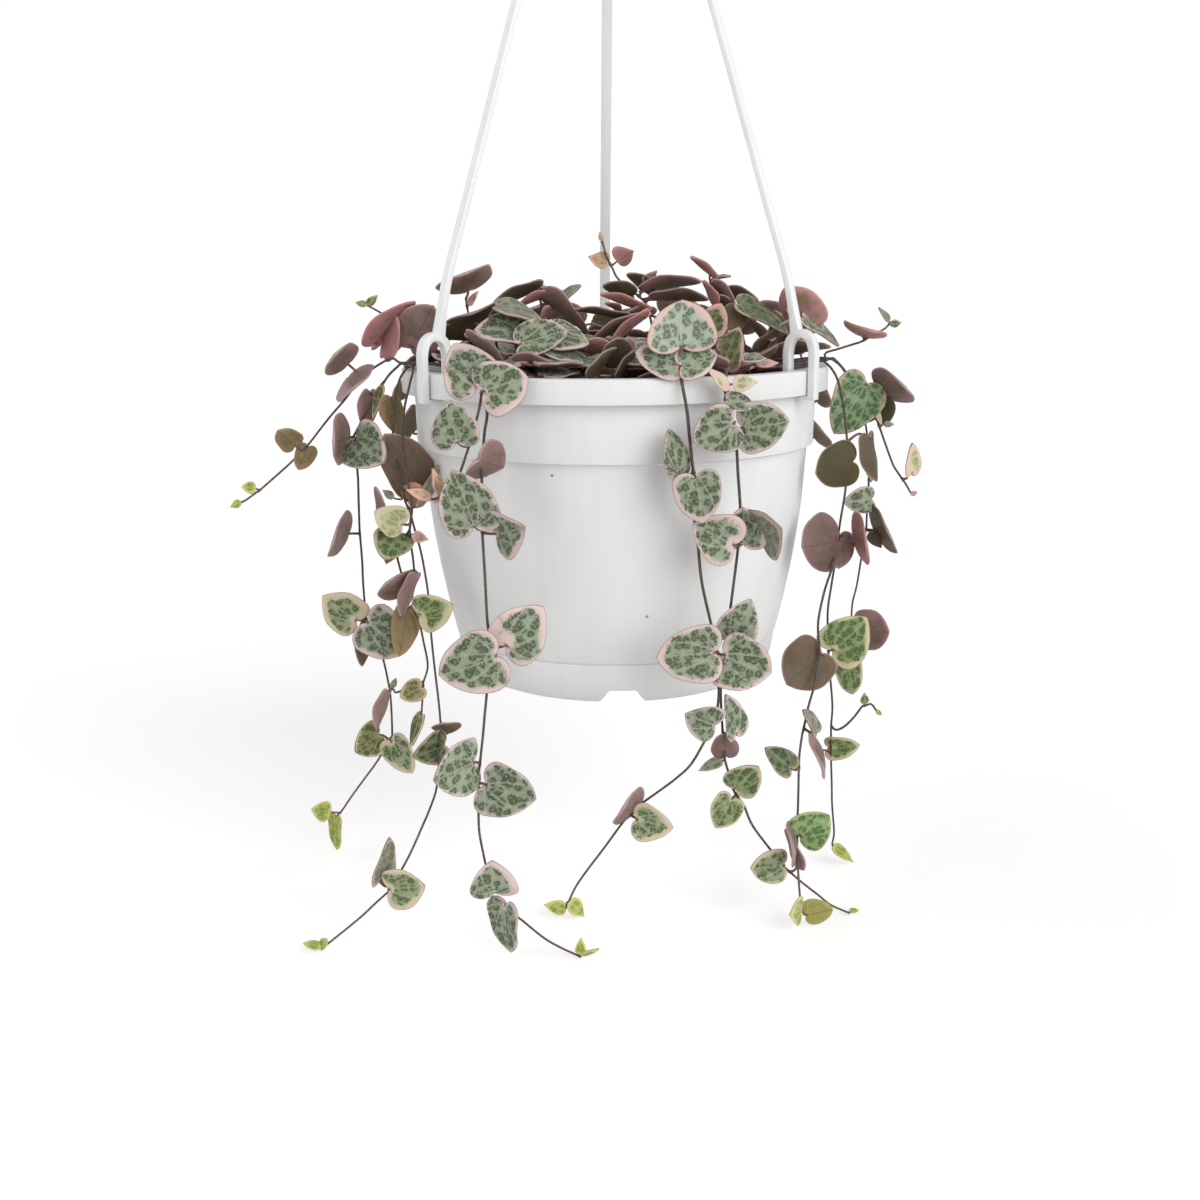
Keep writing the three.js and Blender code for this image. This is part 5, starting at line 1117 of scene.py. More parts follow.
def leaf_lift(tree, parts, size, bend, seed, sideways, half_width):
    """How far it stands off the leaf's plane: fold, twist, tip curl, ripples and its own thickness."""
    wing = tree.math("POWER", tree.math("ABSOLUTE", parts[1]), 1.5)
    fold = tree.product(wing, bend[0], half_width)
    dip = tree.product(parts[0], tree.math("ABSOLUTE", parts[0]))
    curl = tree.product(dip, bend[1], size[0])
    twist = tree.product(parts[0], sideways, bend[2])
    side_wave = tree.product(wave_of(tree, parts[0], 6.5, seed, 40.0), parts[1], SIDE_WAVE)
    ripple = tree.product(side_wave, wing, size[0])
    body = tree.product(parts[2], size[2])
    return tree.total(tree.math("SUBTRACT", tree.total(fold, twist), curl), tree.total(ripple, body))


def formed_leaves(tree, blades):
    """The sheets, each bent and laid along its own leaf."""
    base = named(tree, "base")
    spot = tree.vector("SUBTRACT", tree.add("GeometryNodeInputPosition"), base)
    blades = tree.add(
        "GeometryNodeStoreNamedAttribute", {"Geometry": blades, "Name": "sheet_spot", "Value": spot},
        data_type="FLOAT_VECTOR", domain="POINT",
    )
    parts, size, bend = (tree.split(named(tree, key)) for key in ("sheet_spot", "leaf_size", "leaf_bend"))
    seed = named(tree, "leaf_seed", "FLOAT")
    ahead = named(tree, "ahead")
    face = named(tree, "face")
    across = tree.vector("CROSS_PRODUCT", ahead, face)
    sideways, half_width = leaf_reach(tree, parts[0], parts[1], size, seed)
    lift = leaf_lift(tree, parts, size, bend, seed, sideways, half_width)
    spot = base
    for way, distance in ((ahead, tree.product(parts[0], size[0])), (across, sideways), (face, lift)):
        spot = tree.vector("ADD", spot, tree.vector("SCALE", way, scale=distance))
    return tree.add("GeometryNodeSetPosition", {"Geometry": blades, "Position": spot})


def growth_tree():
    tree, given, result = geometry_tree("growth", {
        "Heart sheet": "NodeSocketObject", "Young sheet": "NodeSocketObject",
        "Stem sides": "NodeSocketInt", "Stem step": "NodeSocketFloat",
        "Leaf material": "NodeSocketMaterial", "Stem material": "NodeSocketMaterial",
    })
    stems = stem_tubes(tree, given)
    blades = formed_leaves(tree, sheet_copies(tree, given))
    blades = tree.add("GeometryNodeSetMaterial", {"Geometry": blades, "Material": given["Leaf material"]})
    whole = tree.add("GeometryNodeJoinGeometry")
    tree.put(whole.inputs[0], stems)
    tree.put(whole.inputs[0], blades)
    tree.put(result, whole)
    return tree.tree


def stem_points(path, leaves, thick, thin, tint):
    """Points along a stem with their thickness, thicker in a small knot wherever leaves leave it."""
    lengths = [0]
    for start, end in zip(path, path[1:]):
        lengths.append(lengths[-1] + (end - start).length)
    marks = {round(length, 3): 1 for length in lengths}
    knots = set()
    for leaf in leaves:
        for i, (start, end) in enumerate(zip(path, path[1:])):
            if near_line(leaf["root"], start, end) < 0.02:
                knots.add(round(lengths[i] + (leaf["root"] - start).length, 3))
                break
    for knot in knots:
        for step, swell in ((-1.1, 1), (0, 1.5), (1.1, 1)):
            if 0 < knot + step < lengths[-1]:
                marks[round(knot + step, 3)] = swell
    points, last = [], -9
    for length in sorted(marks):
        if length - last < 0.25:
            continue
        last = length
        i = max(k for k in range(len(lengths) - 1) if lengths[k] <= length)
        share = (length - lengths[i]) / max(lengths[i + 1] - lengths[i], 1e-6)
        along = length / lengths[-1]
        points.append((
            path[i].lerp(path[i + 1], min(share, 1)), (thick + (thin - thick) * along) * marks[length],
            tint(along),
        ))
    return points


def leaf_floor(leaf, thickness):
    """The leaf, raised if any of it would lie below the surface that the plant trails on."""
    across = leaf["ahead"].cross(leaf["face"])
    lowest = math.inf
    for u, v in HEART_HALF:
        for side in (1, -1):
            sideways = across * (v * side * leaf["width"] / 2)
            spot = leaf["base"] + leaf["ahead"] * (u * leaf["length"]) + sideways
            rise = FOLD * abs(v) ** 1.5 * leaf["width"] / 2 - leaf["curl"] * leaf["length"] * u * abs(u)
            lowest = min(lowest, (spot + leaf["face"] * rise).z)
    lowest -= thickness * 0.6
    if lowest < SURFACE + LEAF_CLEAR:
        leaf["base"] = leaf["base"] + Vector((0, 0, SURFACE + LEAF_CLEAR - lowest))
    return leaf


YOUNG_LENGTH = 7.5
YOUNG_WIDTH = 5.5
YOUNG_SHARE = 0.7
FRONT_VINE, VINE, SHOOT, TWIG = 0.52, 0.42, 0.46, 0.44
STEM_TIP, TWIG_TIP = 0.34, 0.36


def growth_mesh(name, path, twigs, leaves, chance):
    """Loose edges for the stems and loose points for the leaves, each with its marks."""
    rows, edges = [], []

    def line(points):
        for i, (spot, thickness, tint) in enumerate(points):
            if i:
                edges.append((len(rows) - 1, len(rows)))
            rows.append((spot, {"thickness": thickness * MM, "tint": tint}))

    hanging = VINE if name.startswith("vine") else SHOOT
    thick = FRONT_VINE if name.startswith("vine_front") else hanging
    line(stem_points(path, leaves, thick, STEM_TIP, lambda share: 0.35 * share ** 6))
    for twig in twigs:
        line(stem_points(twig, leaves, TWIG, TWIG_TIP, lambda share: 0.4 * share ** 4))
    for leaf in leaves:
        young = leaf["length"] < YOUNG_LENGTH or leaf["width"] < YOUNG_WIDTH
        leaf["curl"] = TIP_CURL * chance.uniform(0.5, 1.6)
        thickness = LEAF_THICKNESS * (YOUNG_SHARE if young else 1)
        leaf_floor(leaf, thickness)
        reach = leaf["base"] - leaf["root"]
        middle = leaf["root"] + reach * 0.55 - leaf["ahead"] * (0.28 * reach.length)
        inner = leaf["base"] + leaf["ahead"] * (0.05 * leaf["length"])
        stalk = PETIOLE * (0.8 if young else 1)
        line([
            (leaf["root"], stalk * 1.2, 0.6), (middle, stalk, 0.8), (leaf["base"], stalk, 1),
            (inner, stalk * 0.7, 1),
        ])
        ground, blotch, margin, under, margin_width, solid = LOOKS[leaf["look"]]
        light = chance.uniform(0.93, 1.08)
        paints = {"ground": ground, "blotch": blotch, "margin": margin, "under": under}
        marks = {key: [part * light for part in srgb(*paint)] for key, paint in paints.items()}
        lean = 0.9 if leaf["look"] == "one_side_pink" else chance.uniform(-0.6, 0.6)
        marks.update({
            "base": placed(leaf["base"]), "ahead": leaf["ahead"], "face": leaf["face"],
            "leaf_size": (leaf["length"] * MM, leaf["width"] * MM, thickness * MM),
            "leaf_bend": (FOLD * chance.uniform(0.5, 1.7), leaf["curl"], chance.uniform(-0.14, 0.14)),
            "pattern": (margin_width * chance.uniform(0.75, 1.35), solid, lean),
            "leaf_kind": 2 if young else 1, "leaf_seed": chance.random(),
            "taper": TIP_TAPER * chance.random() * (0 if leaf["look"] in ROUND_LOOKS else 1),
        })
        rows.append((leaf["base"], marks))
    mesh = bpy.data.meshes.new(name + "_rows")
    mesh.from_pydata([placed(spot) for spot, marks in rows], edges, [])
    for key in VECTOR_MARKS:
        values = [number for spot, marks in rows for number in marks.get(key, (0, 0, 0))]
        mesh.attributes.new(key, "FLOAT_VECTOR", "POINT").data.foreach_set("vector", values)
    for key in NUMBER_MARKS:
        values = [float(marks.get(key, 0)) for spot, marks in rows]
        mesh.attributes.new(key, "FLOAT", "POINT").data.foreach_set("value", values)
    return mesh


# ---- materials -----------------------------------------------------------------------------------
def material(name):
    """A new material: the Tree that holds its nodes, and its Principled shader."""
    paint = bpy.data.materials.new(name)
    paint.use_nodes = True
    tree = Tree(paint.node_tree)
    shader = next(node for node in paint.node_tree.nodes if node.type == "BSDF_PRINCIPLED")
    return paint, tree, shader


def mark(tree, name, output="Vector"):
    return tree.add("ShaderNodeAttribute", attribute_name=name, attribute_type="GEOMETRY").outputs[output]


def band(tree, value, low, high):
    """0 below low, 1 above high, and smooth between."""
    node = tree.add("ShaderNodeMapRange", {"Value": value, "From Min": low, "From Max": high})
    node.interpolation_type = "SMOOTHSTEP"
    return node.outputs["Result"]


def mixed(tree, share, first, second):
    node = tree.add("ShaderNodeMix", data_type="RGBA")
    tree.put(node.inputs["Factor"], share)
    tree.put(node.inputs[6], first)
    tree.put(node.inputs[7], second)
    return node.outputs[2]


def paint_value(*numbers):
    return (*srgb(*numbers), 1)


def grain_group():
    """Grain for every material: a speckle, a soft mask of it, two colours mixed by it, and its relief."""
    group = bpy.data.node_groups.new("grain", "ShaderNodeTree")
    numbers = ("Scale", "Detail", "Low", "High", "Relief", "Depth")
    given_sockets = {"Place": "NodeSocketVector", "First": "NodeSocketColor", "Second": "NodeSocketColor"}
    given_sockets.update({label: "NodeSocketFloat" for label in numbers})
    for label, kind in given_sockets.items():
        group.interface.new_socket(label, in_out="INPUT", socket_type=kind)
    results = {
        "Value": "NodeSocketFloat", "Mask": "NodeSocketFloat", "Colour": "NodeSocketColor",
        "Normal": "NodeSocketVector",
    }
    for label, kind in results.items():
        group.interface.new_socket(label, in_out="OUTPUT", socket_type=kind)
    tree = Tree(group)
    given = tree.add("NodeGroupInput").outputs
    speckle = noise(tree, given["Place"], given["Scale"], given["Detail"])
    mask = band(tree, speckle, given["Low"], given["High"])
    relief = tree.add("ShaderNodeBump", {
        "Strength": given["Relief"], "Distance": given["Depth"], "Height": speckle,
    })
    colour = mixed(tree, mask, given["First"], given["Second"])
    tree.add("NodeGroupOutput", {"Value": speckle, "Mask": mask, "Colour": colour, "Normal": relief})
    return group


def grain_in(tree, place, scale, detail, **more):
    """The outputs of the shared grain, placed in a material with its own values."""
    values = {"Place": place, "Scale": scale, "Detail": detail, "Low": 0.3, "High": 0.7}
    values.update({label.capitalize(): value for label, value in more.items()})
    return tree.add("ShaderNodeGroup", values, node_tree=GRAIN).outputs


def noise(tree, place, scale, detail, output=0):
    return tree.add("ShaderNodeTexNoise", {
        "Vector": place, "Scale": scale, "Detail": detail,
    }).outputs[output]


def leaf_cells(tree, place):
    """How far a point is from the middle of its cell; each cell can make a blotch."""
    wobble = noise(tree, place, 0.9, 2.0, "Color")
    shift = tree.vector("SCALE", tree.vector("SUBTRACT", wobble, (0.5, 0.5, 0.5)), scale=1.7)
    return tree.add("ShaderNodeTexVoronoi", {
        "Vector": tree.vector("ADD", place, shift), "Scale": 0.37, "Randomness": 0.75,
    }, voronoi_dimensions="2D").outputs["Distance"]


def leaf_veins(tree, along, over):
    """How far a point is from the midrib, and from two pairs that curve from petiole to tip."""
    reach = tree.total(along, 0.8)
    angle = tree.math("ABSOLUTE", tree.math("ARCTAN2", over, reach))
    far = tree.math("SQRT", tree.total(tree.product(over, over), tree.product(reach, reach)))
    bow = tree.total(angle, tree.product(far, 0.022))
    pairs = [
        tree.product(tree.math("ABSOLUTE", tree.math("SUBTRACT", bow, turn)), far) for turn in (0.62, 1.3)
    ]
    return tree.math("ABSOLUTE", over), tree.math("MINIMUM", *pairs)


def leaf_top(tree, place, cells, solid, vein, grain, fine):
    """Blotches, each a ring round a cell's middle or a full patch, on a ground with paler veins."""
    full = tree.math("MULTIPLY_ADD", noise(tree, place, 0.22, 2.0), 0.3, -0.15)
    within = tree.math("SUBTRACT", cells, full)
    disc = tree.rest(band(tree, within, 0.33, 0.5))
    hole = tree.product(tree.rest(band(tree, cells, 0.04, 0.28)), 0.62, tree.rest(solid))
    blotch = tree.product(disc, tree.rest(hole), band(tree, grain, 0.28, 0.5))
    blotch = tree.product(blotch, tree.rest(tree.product(vein, 0.9)))
    plain, dark = mark(tree, "ground"), mark(tree, "blotch")
    ground = mixed(tree, tree.product(vein, 0.4), plain, mixed(tree, 0.26, plain, (0.8, 0.85, 0.75, 1)))
    ground = mixed(tree, tree.product(fine, 0.3), ground, mixed(tree, 0.5, plain, dark))
    halo = tree.rest(band(tree, within, 0.4, 0.78))
    halo = tree.product(halo, tree.math("SUBTRACT", 0.26, tree.product(vein, 0.16)))
    ground = mixed(tree, halo, ground, dark)
    return mixed(tree, tree.product(blotch, 0.92), ground, dark)


def with_margin(tree, top, place, side, pattern, inset, cells, grain, fine):
    """The top with its margin: uneven, wider on one side, with lumps that follow the blotches."""
    wide = tree.product(pattern[0], tree.math("MULTIPLY_ADD", pattern[2], side, 1.0))
    wide = tree.product(wide, tree.math("MULTIPLY_ADD", noise(tree, place, 0.13, 1.0), 4.0, -0.95))
    uneven = tree.product(tree.math("SUBTRACT", grain, 0.5), 0.13)
    lumps = tree.product(tree.math("SUBTRACT", 0.35, cells), 0.06)
    gap = tree.math("SUBTRACT", tree.total(inset, uneven, lumps), wide)
    margin = mark(tree, "margin")
    sandy = mixed(tree, 0.5, margin, mark(tree, "ground"))
    inwards = tree.math("DIVIDE", inset, tree.math("MAXIMUM", wide, 0.02))
    inwards = tree.total(inwards, tree.product(fine, 0.7))
    margin = mixed(tree, tree.product(band(tree, inwards, 0.5, 1.5), 0.75), margin, sandy)
    top = mixed(tree, band(tree, gap, -0.02, 0.035), margin, top)
    edge = tree.rest(band(tree, inset, 0.004, 0.022))
    return mixed(tree, tree.product(edge, 0.6), top, mark(tree, "under"))


def leaf_underside(tree, place, seed, inset, midrib, side_veins, fine):
    """One soft colour, cloudy, with thin dark veins, a rosy rim that is partly the leaf's own rose and partly
    a painted highlight, and a pale edge that is partly a painted highlight.
    """
    tone = tree.math("MULTIPLY_ADD", tree.math("FRACT", tree.product(seed, 7.3)), 0.3, 0.88)
    under = tree.vector("SCALE", mark(tree, "under"), scale=tone)
    shady = tree.vector("MULTIPLY", under, BROWN_SHADE)
    two_tone = grain_in(tree, place, 0.11, 2.0, low=0.4, high=0.66, first=under, second=shady)["Colour"]
    # The underside lifted lighter and pinker: partly the leaf's own rose, partly a painted highlight laid
    # towards the rim.
    rose_and_highlight = tree.vector("MULTIPLY", under, ROSE_AND_HIGHLIGHT_LIFT)
    cloud = grain_in(tree, place, 0.16, 3.0)["Value"]
    towards_rim = tree.total(tree.product(inset, -3.2), tree.product(cloud, 1.6))
    under = mixed(tree, tree.product(band(tree, towards_rim, 0.05, 0.75), 0.7), two_tone, rose_and_highlight)
    mottle = grain_in(tree, place, 0.5, 4.0, low=0.48, high=0.64)["Mask"]
    under = mixed(tree, tree.product(mottle, 0.34), under, rose_and_highlight)
    side_ribs = tree.rest(band(tree, side_veins, 0.04, 0.3))
    rib = tree.math("MAXIMUM", tree.rest(band(tree, midrib, 0.08, 0.34)), tree.product(side_ribs, 0.55))
    under = mixed(tree, tree.product(rib, 0.34), under, paint_value(60, 44, 38))
    under = mixed(tree, tree.product(fine, 0.16), under, paint_value(176, 156, 136))
    # The thin edge goes towards the pale margin colour: partly the edge's own colour, partly a painted
    # highlight.
    edge = tree.rest(band(tree, inset, 0.004, 0.034))
    return mixed(tree, tree.product(edge, 0.4), under, mark(tree, "margin"))


def leaf_material():
    paint, tree, shader = material("heart_leaf")
    spot, size, pattern = (tree.split(mark(tree, key)) for key in ("sheet_spot", "leaf_size", "pattern"))
    seed = mark(tree, "leaf_seed", "Fac")
    inset = mark(tree, "inset", "Fac")
    # place on the leaf in millimetres, moved apart from leaf to leaf
    along = tree.product(spot[0], size[0], 1000.0)
    over = tree.product(spot[1], size[1], 500.0)
    place = tree.add("ShaderNodeCombineXYZ", {
        0: tree.math("MULTIPLY_ADD", seed, 531.0, along), 1: tree.math("MULTIPLY_ADD", seed, 287.0, over),
        2: tree.product(seed, 91.0),
    }).outputs[0]
    cells = leaf_cells(tree, place)
    grain = noise(tree, place, 1.7, 3.0)
    fine = noise(tree, place, 5.0, 2.0)
    midrib, side_veins = leaf_veins(tree, along, over)
    nearest = tree.math("MINIMUM", midrib, side_veins)
    nearest = tree.total(nearest, tree.product(tree.math("SUBTRACT", grain, 0.5), 1.7))
    vein = tree.rest(band(tree, nearest, 0.0, 0.6))
    top = leaf_top(tree, place, cells, pattern[1], vein, grain, fine)
    top = with_margin(tree, top, place, spot[1], pattern, inset, cells, grain, fine)
    under = leaf_underside(tree, place, seed, inset, midrib, side_veins, fine)
    tree.put(shader.inputs["Base Color"], mixed(tree, band(tree, spot[2], -0.06, 0.06), under, top))
    tree.put(shader.inputs["Roughness"], tree.math("MULTIPLY_ADD", grain, 0.2, 0.42))
    shader.inputs["Specular IOR Level"].default_value = 0.22
    height = tree.total(tree.product(vein, -0.5), tree.product(grain, 0.5))
    bump = tree.add("ShaderNodeBump", {"Strength": 0.35, "Distance": 0.0002, "Height": height})
    tree.put(shader.inputs["Normal"], bump)
    return paint


def stem_material():
    paint, tree, shader = material("stem_skin")
    tint = mark(tree, "tint", "Fac")
    place = tree.add("ShaderNodeTexCoord").outputs["Object"]
    bark = grain_in(
        tree, place, 900.0, 3.0, first=paint_value(56, 48, 43), second=paint_value(88, 77, 69),
        relief=0.4, depth=0.0001,
    )
    stalk = mixed(tree, bark["Mask"], paint_value(104, 72, 64), paint_value(140, 102, 90))
    tree.put(shader.inputs["Base Color"], mixed(tree, tint, bark["Colour"], stalk))
    shader.inputs["Roughness"].default_value = 0.55
    tree.put(shader.inputs["Normal"], bark["Normal"])
    return paint


def plastic_material(name, tone, roughness, specks_at=()):
    paint, tree, shader = material(name)
    place = tree.add("ShaderNodeTexCoord").outputs["Object"]
    cloud = grain_in(tree, place, 22.0, 4.0)["Value"]
    flow = tree.add("ShaderNodeMapping", {"Vector": place, "Scale": (60.0, 60.0, 9.0)})
    streak = grain_in(tree, flow, 3.0, 5.0)["Value"]
    shade = tree.total(tree.product(cloud, 0.5), tree.product(streak, 0.5))
    darker = tuple(round(part * 0.975) for part in tone)
    base = mixed(tree, band(tree, shade, 0.35, 0.7), paint_value(*tone), paint_value(*darker))
    specks = tree.add(
        "ShaderNodeTexVoronoi", {"Vector": place, "Scale": 62.0, "Randomness": 1.0},
    ).outputs["Distance"]
    chance = noise(tree, place, 37.0, 0.0)
    dirt = tree.product(tree.rest(band(tree, specks, 0.02, 0.045)), band(tree, chance, 0.6, 0.66))
    for speck in specks_at:
        far = tree.vector("DISTANCE", place, placed(speck))
        dirt = tree.math("MAXIMUM", dirt, tree.rest(band(tree, far, SPECK * 0.6 * MM, SPECK * MM)))
    base = mixed(tree, tree.product(dirt, 0.75), base, paint_value(96, 84, 70))
    tree.put(shader.inputs["Base Color"], base)
    tree.put(shader.inputs["Roughness"], tree.math("MULTIPLY_ADD", shade, 0.16, roughness))
    skin = grain_in(tree, place, 700.0, 2.0, relief=0.12, depth=0.0001)
    tree.put(shader.inputs["Normal"], skin["Normal"])
    return paint


def soil_material():
    paint, tree, shader = material("potting_mix")
    place = tree.add("ShaderNodeTexCoord").outputs["Object"]
    clod = grain_in(
        tree, place, 260.0, 5.0, first=paint_value(40, 29, 22), second=paint_value(84, 62, 46),
        relief=0.8, depth=0.0006,
    )
    patch = grain_in(tree, place, 90.0, 3.0, low=0.56, high=0.68)["Mask"]
    green = mixed(tree, tree.product(patch, 0.55), clod["Colour"], paint_value(104, 102, 58))
    tree.put(shader.inputs["Base Color"], green)
    shader.inputs["Roughness"].default_value = 0.95
    tree.put(shader.inputs["Normal"], clod["Normal"])
    return paint


def perlite_material():
    paint, tree, shader = material("perlite")
    place = tree.add("ShaderNodeTexCoord").outputs["Object"]
    pits = grain_in(
        tree, place, 1400.0, 3.0, first=paint_value(200, 192, 172), second=paint_value(232, 228, 216),
        relief=0.6, depth=0.0002,
    )
    tree.put(shader.inputs["Base Color"], pits["Colour"])
    shader.inputs["Roughness"].default_value = 0.9
    tree.put(shader.inputs["Normal"], pits["Normal"])
    return paint


# ---- pot, hanger and soil ------------------------------------------------------------------------
POT_STEPS = 144
POT_SPECKS = [(-19.4, -60.3, -28.7), (8.7, -56.9, -72.5)]
SPECK = 0.6
POT_PROFILE = [
    (0, -97.4), (41.8, -97.4), (42.2, -POT_HEIGHT), (44.6, -POT_HEIGHT), (47.8, -101.7), (50.2, -100),
    (51.9, -97.4), (52.9, -94.4), (53.5, -91), (53.6, FOOT_SEAM - 0.1), (53.15, FOOT_SEAM + 0.15),
    (53.2, FOOT_SEAM + 0.45), (54.1, FOOT_SEAM + 0.7), (56.6, -78), (59.2, -65), (61, -54), (62.2, -44.5),
    (63, -34), (63.4, -25.6), (65.5, -25), (65.9, -12), (66.1, -1.8), (68.5, -1.8), (68.5, -7.4),
    (70, -7.4), (70, -0.4), (69.6, 0), (64.8, 0), (64.4, -24.8), (61.8, -26), (60.7, -44.5),
    (57.5, -65), (52, -89), (48.6, -95.6), (0, -95.6),
]
FOOT_NOTCHES = 4
NOTCH_TURN = 1.5
NOTCH = [
    (-7.35, -104), (7.35, -104), (7.3, -102.7), (4.65, -98), (4, -97.4),
    (-4, -97.4), (-4.65, -98), (-7.3, -102.7),
]


def lathe(name, profile, steps):
    """A closed turned body about the upright axis."""
    body = bmesh.new()
    rings = []
    for radius, z in profile:
        if radius == 0:
            rings.append([body.verts.new(placed((0, 0, z)))] * steps)
        else:
            rings.append([body.verts.new(placed(polar(360 * k / steps, radius, z))) for k in range(steps)])
    for low, high in zip(rings, rings[1:]):
        for k in range(steps):
            corners = [low[k], low[(k + 1) % steps], high[(k + 1) % steps], high[k]]
            kept = [vertex for i, vertex in enumerate(corners) if vertex not in corners[:i]]
            if len(kept) > 2:
                body.faces.new(kept)
    return closed_object(name, body)


def closed_object(name, body):
    """The object of a closed body, its faces turned outwards."""
    bmesh.ops.recalc_face_normals(body, faces=body.faces)
    return body_object(name, body)


def body_object(name, body):
    mesh = bpy.data.meshes.new(name)
    body.to_mesh(mesh)
    body.free()
    return linked(name, mesh)


def plate(name, outline, width, angle):
    """A flat outline of radius and height, made as thick as width, in the upright plane at an angle."""
    body = bmesh.new()
    turn = Matrix.Rotation(math.radians(angle), 3, "Z")
    sides = [
        [body.verts.new(placed(turn @ Vector((r, lean, z)))) for r, z in outline]
        for lean in (-width / 2, width / 2)
    ]
    body.faces.new(sides[0])
    body.faces.new(sides[1][::-1])
    for i in range(len(outline)):
        k = (i + 1) % len(outline)
        body.faces.new([sides[0][k], sides[0][i], sides[1][i], sides[1][k]])
    return closed_object(name, body)


def strip(name, rows, steps, width, angle):
    """A flat band along a smooth line: rows of radius, height and half thickness."""
    line = smooth_line([Vector(row) for row in rows], steps)
    left, right = [], []
    for i, (r, z, half) in enumerate(line):
        before, after = line[max(i - 1, 0)], line[min(i + 1, len(line) - 1)]
        along = Vector((after[0] - before[0], after[1] - before[1])).normalized()
        left.append((r - along.y * half, z + along.x * half))
        right.insert(0, (r + along.y * half, z - along.x * half))
    return plate(name, left + right, width, angle)


def apply_modifiers(thing):
    shape = bpy.data.meshes.new_from_object(thing.evaluated_get(bpy.context.evaluated_depsgraph_get()))
    thing.modifiers.clear()
    thing.data = shape
    return thing


def combined(thing, others, operation):
    """The first body joined with, or cut by, the others, which are used up."""
    for other in others:
        modifier = thing.modifiers.new("join", "BOOLEAN")
        modifier.operation = operation
        modifier.solver = "EXACT"
        modifier.object = other
        apply_modifiers(thing)
        bpy.data.objects.remove(other)
    return thing


def soft_edges(thing, width, segments=3, sharp=30):
    """Moulded edges: a small round on every edge, with smooth shading."""
    body = bmesh.new()
    body.from_mesh(thing.data)
    bmesh.ops.remove_doubles(body, verts=body.verts, dist=1e-6)
    bmesh.ops.dissolve_degenerate(body, edges=body.edges, dist=1e-6)
    body.to_mesh(thing.data)
    body.free()
    modifier = thing.modifiers.new("round", "BEVEL")
    modifier.width = width * MM
    modifier.segments = segments
    modifier.limit_method = "ANGLE"
    modifier.angle_limit = math.radians(sharp)
    modifier.use_clamp_overlap = True
    apply_modifiers(thing)
    smooth(thing.data)
    thing.data.set_sharp_from_angle(angle=math.radians(35))
    return thing


def finished(thing, paint, slot, *nodes):
    if paint is not None:
        thing.data.materials.clear()
        thing.data.materials.append(paint)
    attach(thing, "root")
    if nodes:
        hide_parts(*nodes)
    return thing


def make_pot(paint):
    pot = lathe("pot_body", POT_PROFILE, POT_STEPS)
    cutters = []
    for i in range(FOOT_NOTCHES):
        turn = Matrix.Rotation(math.radians(NOTCH_TURN + 360 / FOOT_NOTCHES * i), 3, "Z")
        body = bmesh.new()
        near = [body.verts.new(placed(turn @ Vector((x, -38, z)))) for x, z in NOTCH]
        far = [body.verts.new(placed(turn @ Vector((x, -52, z)))) for x, z in NOTCH]
        body.faces.new(near)
        body.faces.new(far[::-1])
        for k in range(len(NOTCH)):
            n = (k + 1) % len(NOTCH)
            body.faces.new([near[n], near[k], far[k], far[n]])
        cutters.append(closed_object("notch", body))
    combined(pot, cutters, "DIFFERENCE")
    soft_edges(pot, 0.32)
    finished(pot, paint, "pot_plastic", "pot")


ARM_ANGLES = {"left": 214.7, "right": 327.5, "back": 92.5}
ARM_WIDTH = 3.6
HUB_RADIUS = 11.5
HUB_LOW = 193
HUB_HIGH = 199
HOOK_ROD = 1.9
HOOK_BEND = 9
GAP = 0.3


def arm_radius(z):
    return 61.3 - 0.328 * (z - 31.5)


def make_arm(side, angle, paint):
    fork = strip("hanger_arm_" + side + "_strap", [
        (71.6, -8.9, 1.05), (71.6, -3, 1.05), (71.6, 2, 1.05), (71.6, 5.5, 1.1), (70.9, 8.7, 1.15),
        (69.3, 10.6, 1.2), (67.35, 11.2, 1.3), (65.4, 10.6, 1.2), (63.8, 8.7, 1.15), (63.1, 5.5, 1.05),
        (63.1, 2, 1.05), (63.1, -3, 1),
    ], 44, ARM_WIDTH, angle)
    strap = strip("strap", [
        (65.7, 11.6, 1.4), (65.1, 15, 1.1), (63.9, 21, 0.9), (61.3, 31.5, 0.85), (54.7, 51.5, 0.8),
        (arm_radius(120), 120, 0.8), (arm_radius(200.5), 200.5, 0.8),
    ], 40, ARM_WIDTH, angle)
    tooth = plate("tooth", [
        (72.3, -7.75), (68.3, -7.75), (67.5, -8.3), (67.5, -8.9), (72.3, -8.9),
    ], ARM_WIDTH, angle)
    middle = arm_radius(200.3)
    head = plate("head", [
        (middle - 2, HUB_HIGH + GAP), (middle + 2, HUB_HIGH + GAP),
        (middle + 1.5, HUB_HIGH + 2.2), (middle - 1.5, HUB_HIGH + 2.2),
    ], ARM_WIDTH + 3.2, angle)
    combined(fork, [strap, tooth, head], "UNION")
    soft_edges(fork, 0.28, 2)
    finished(fork, paint, "hanger_plastic", "hanger_arm_" + side)


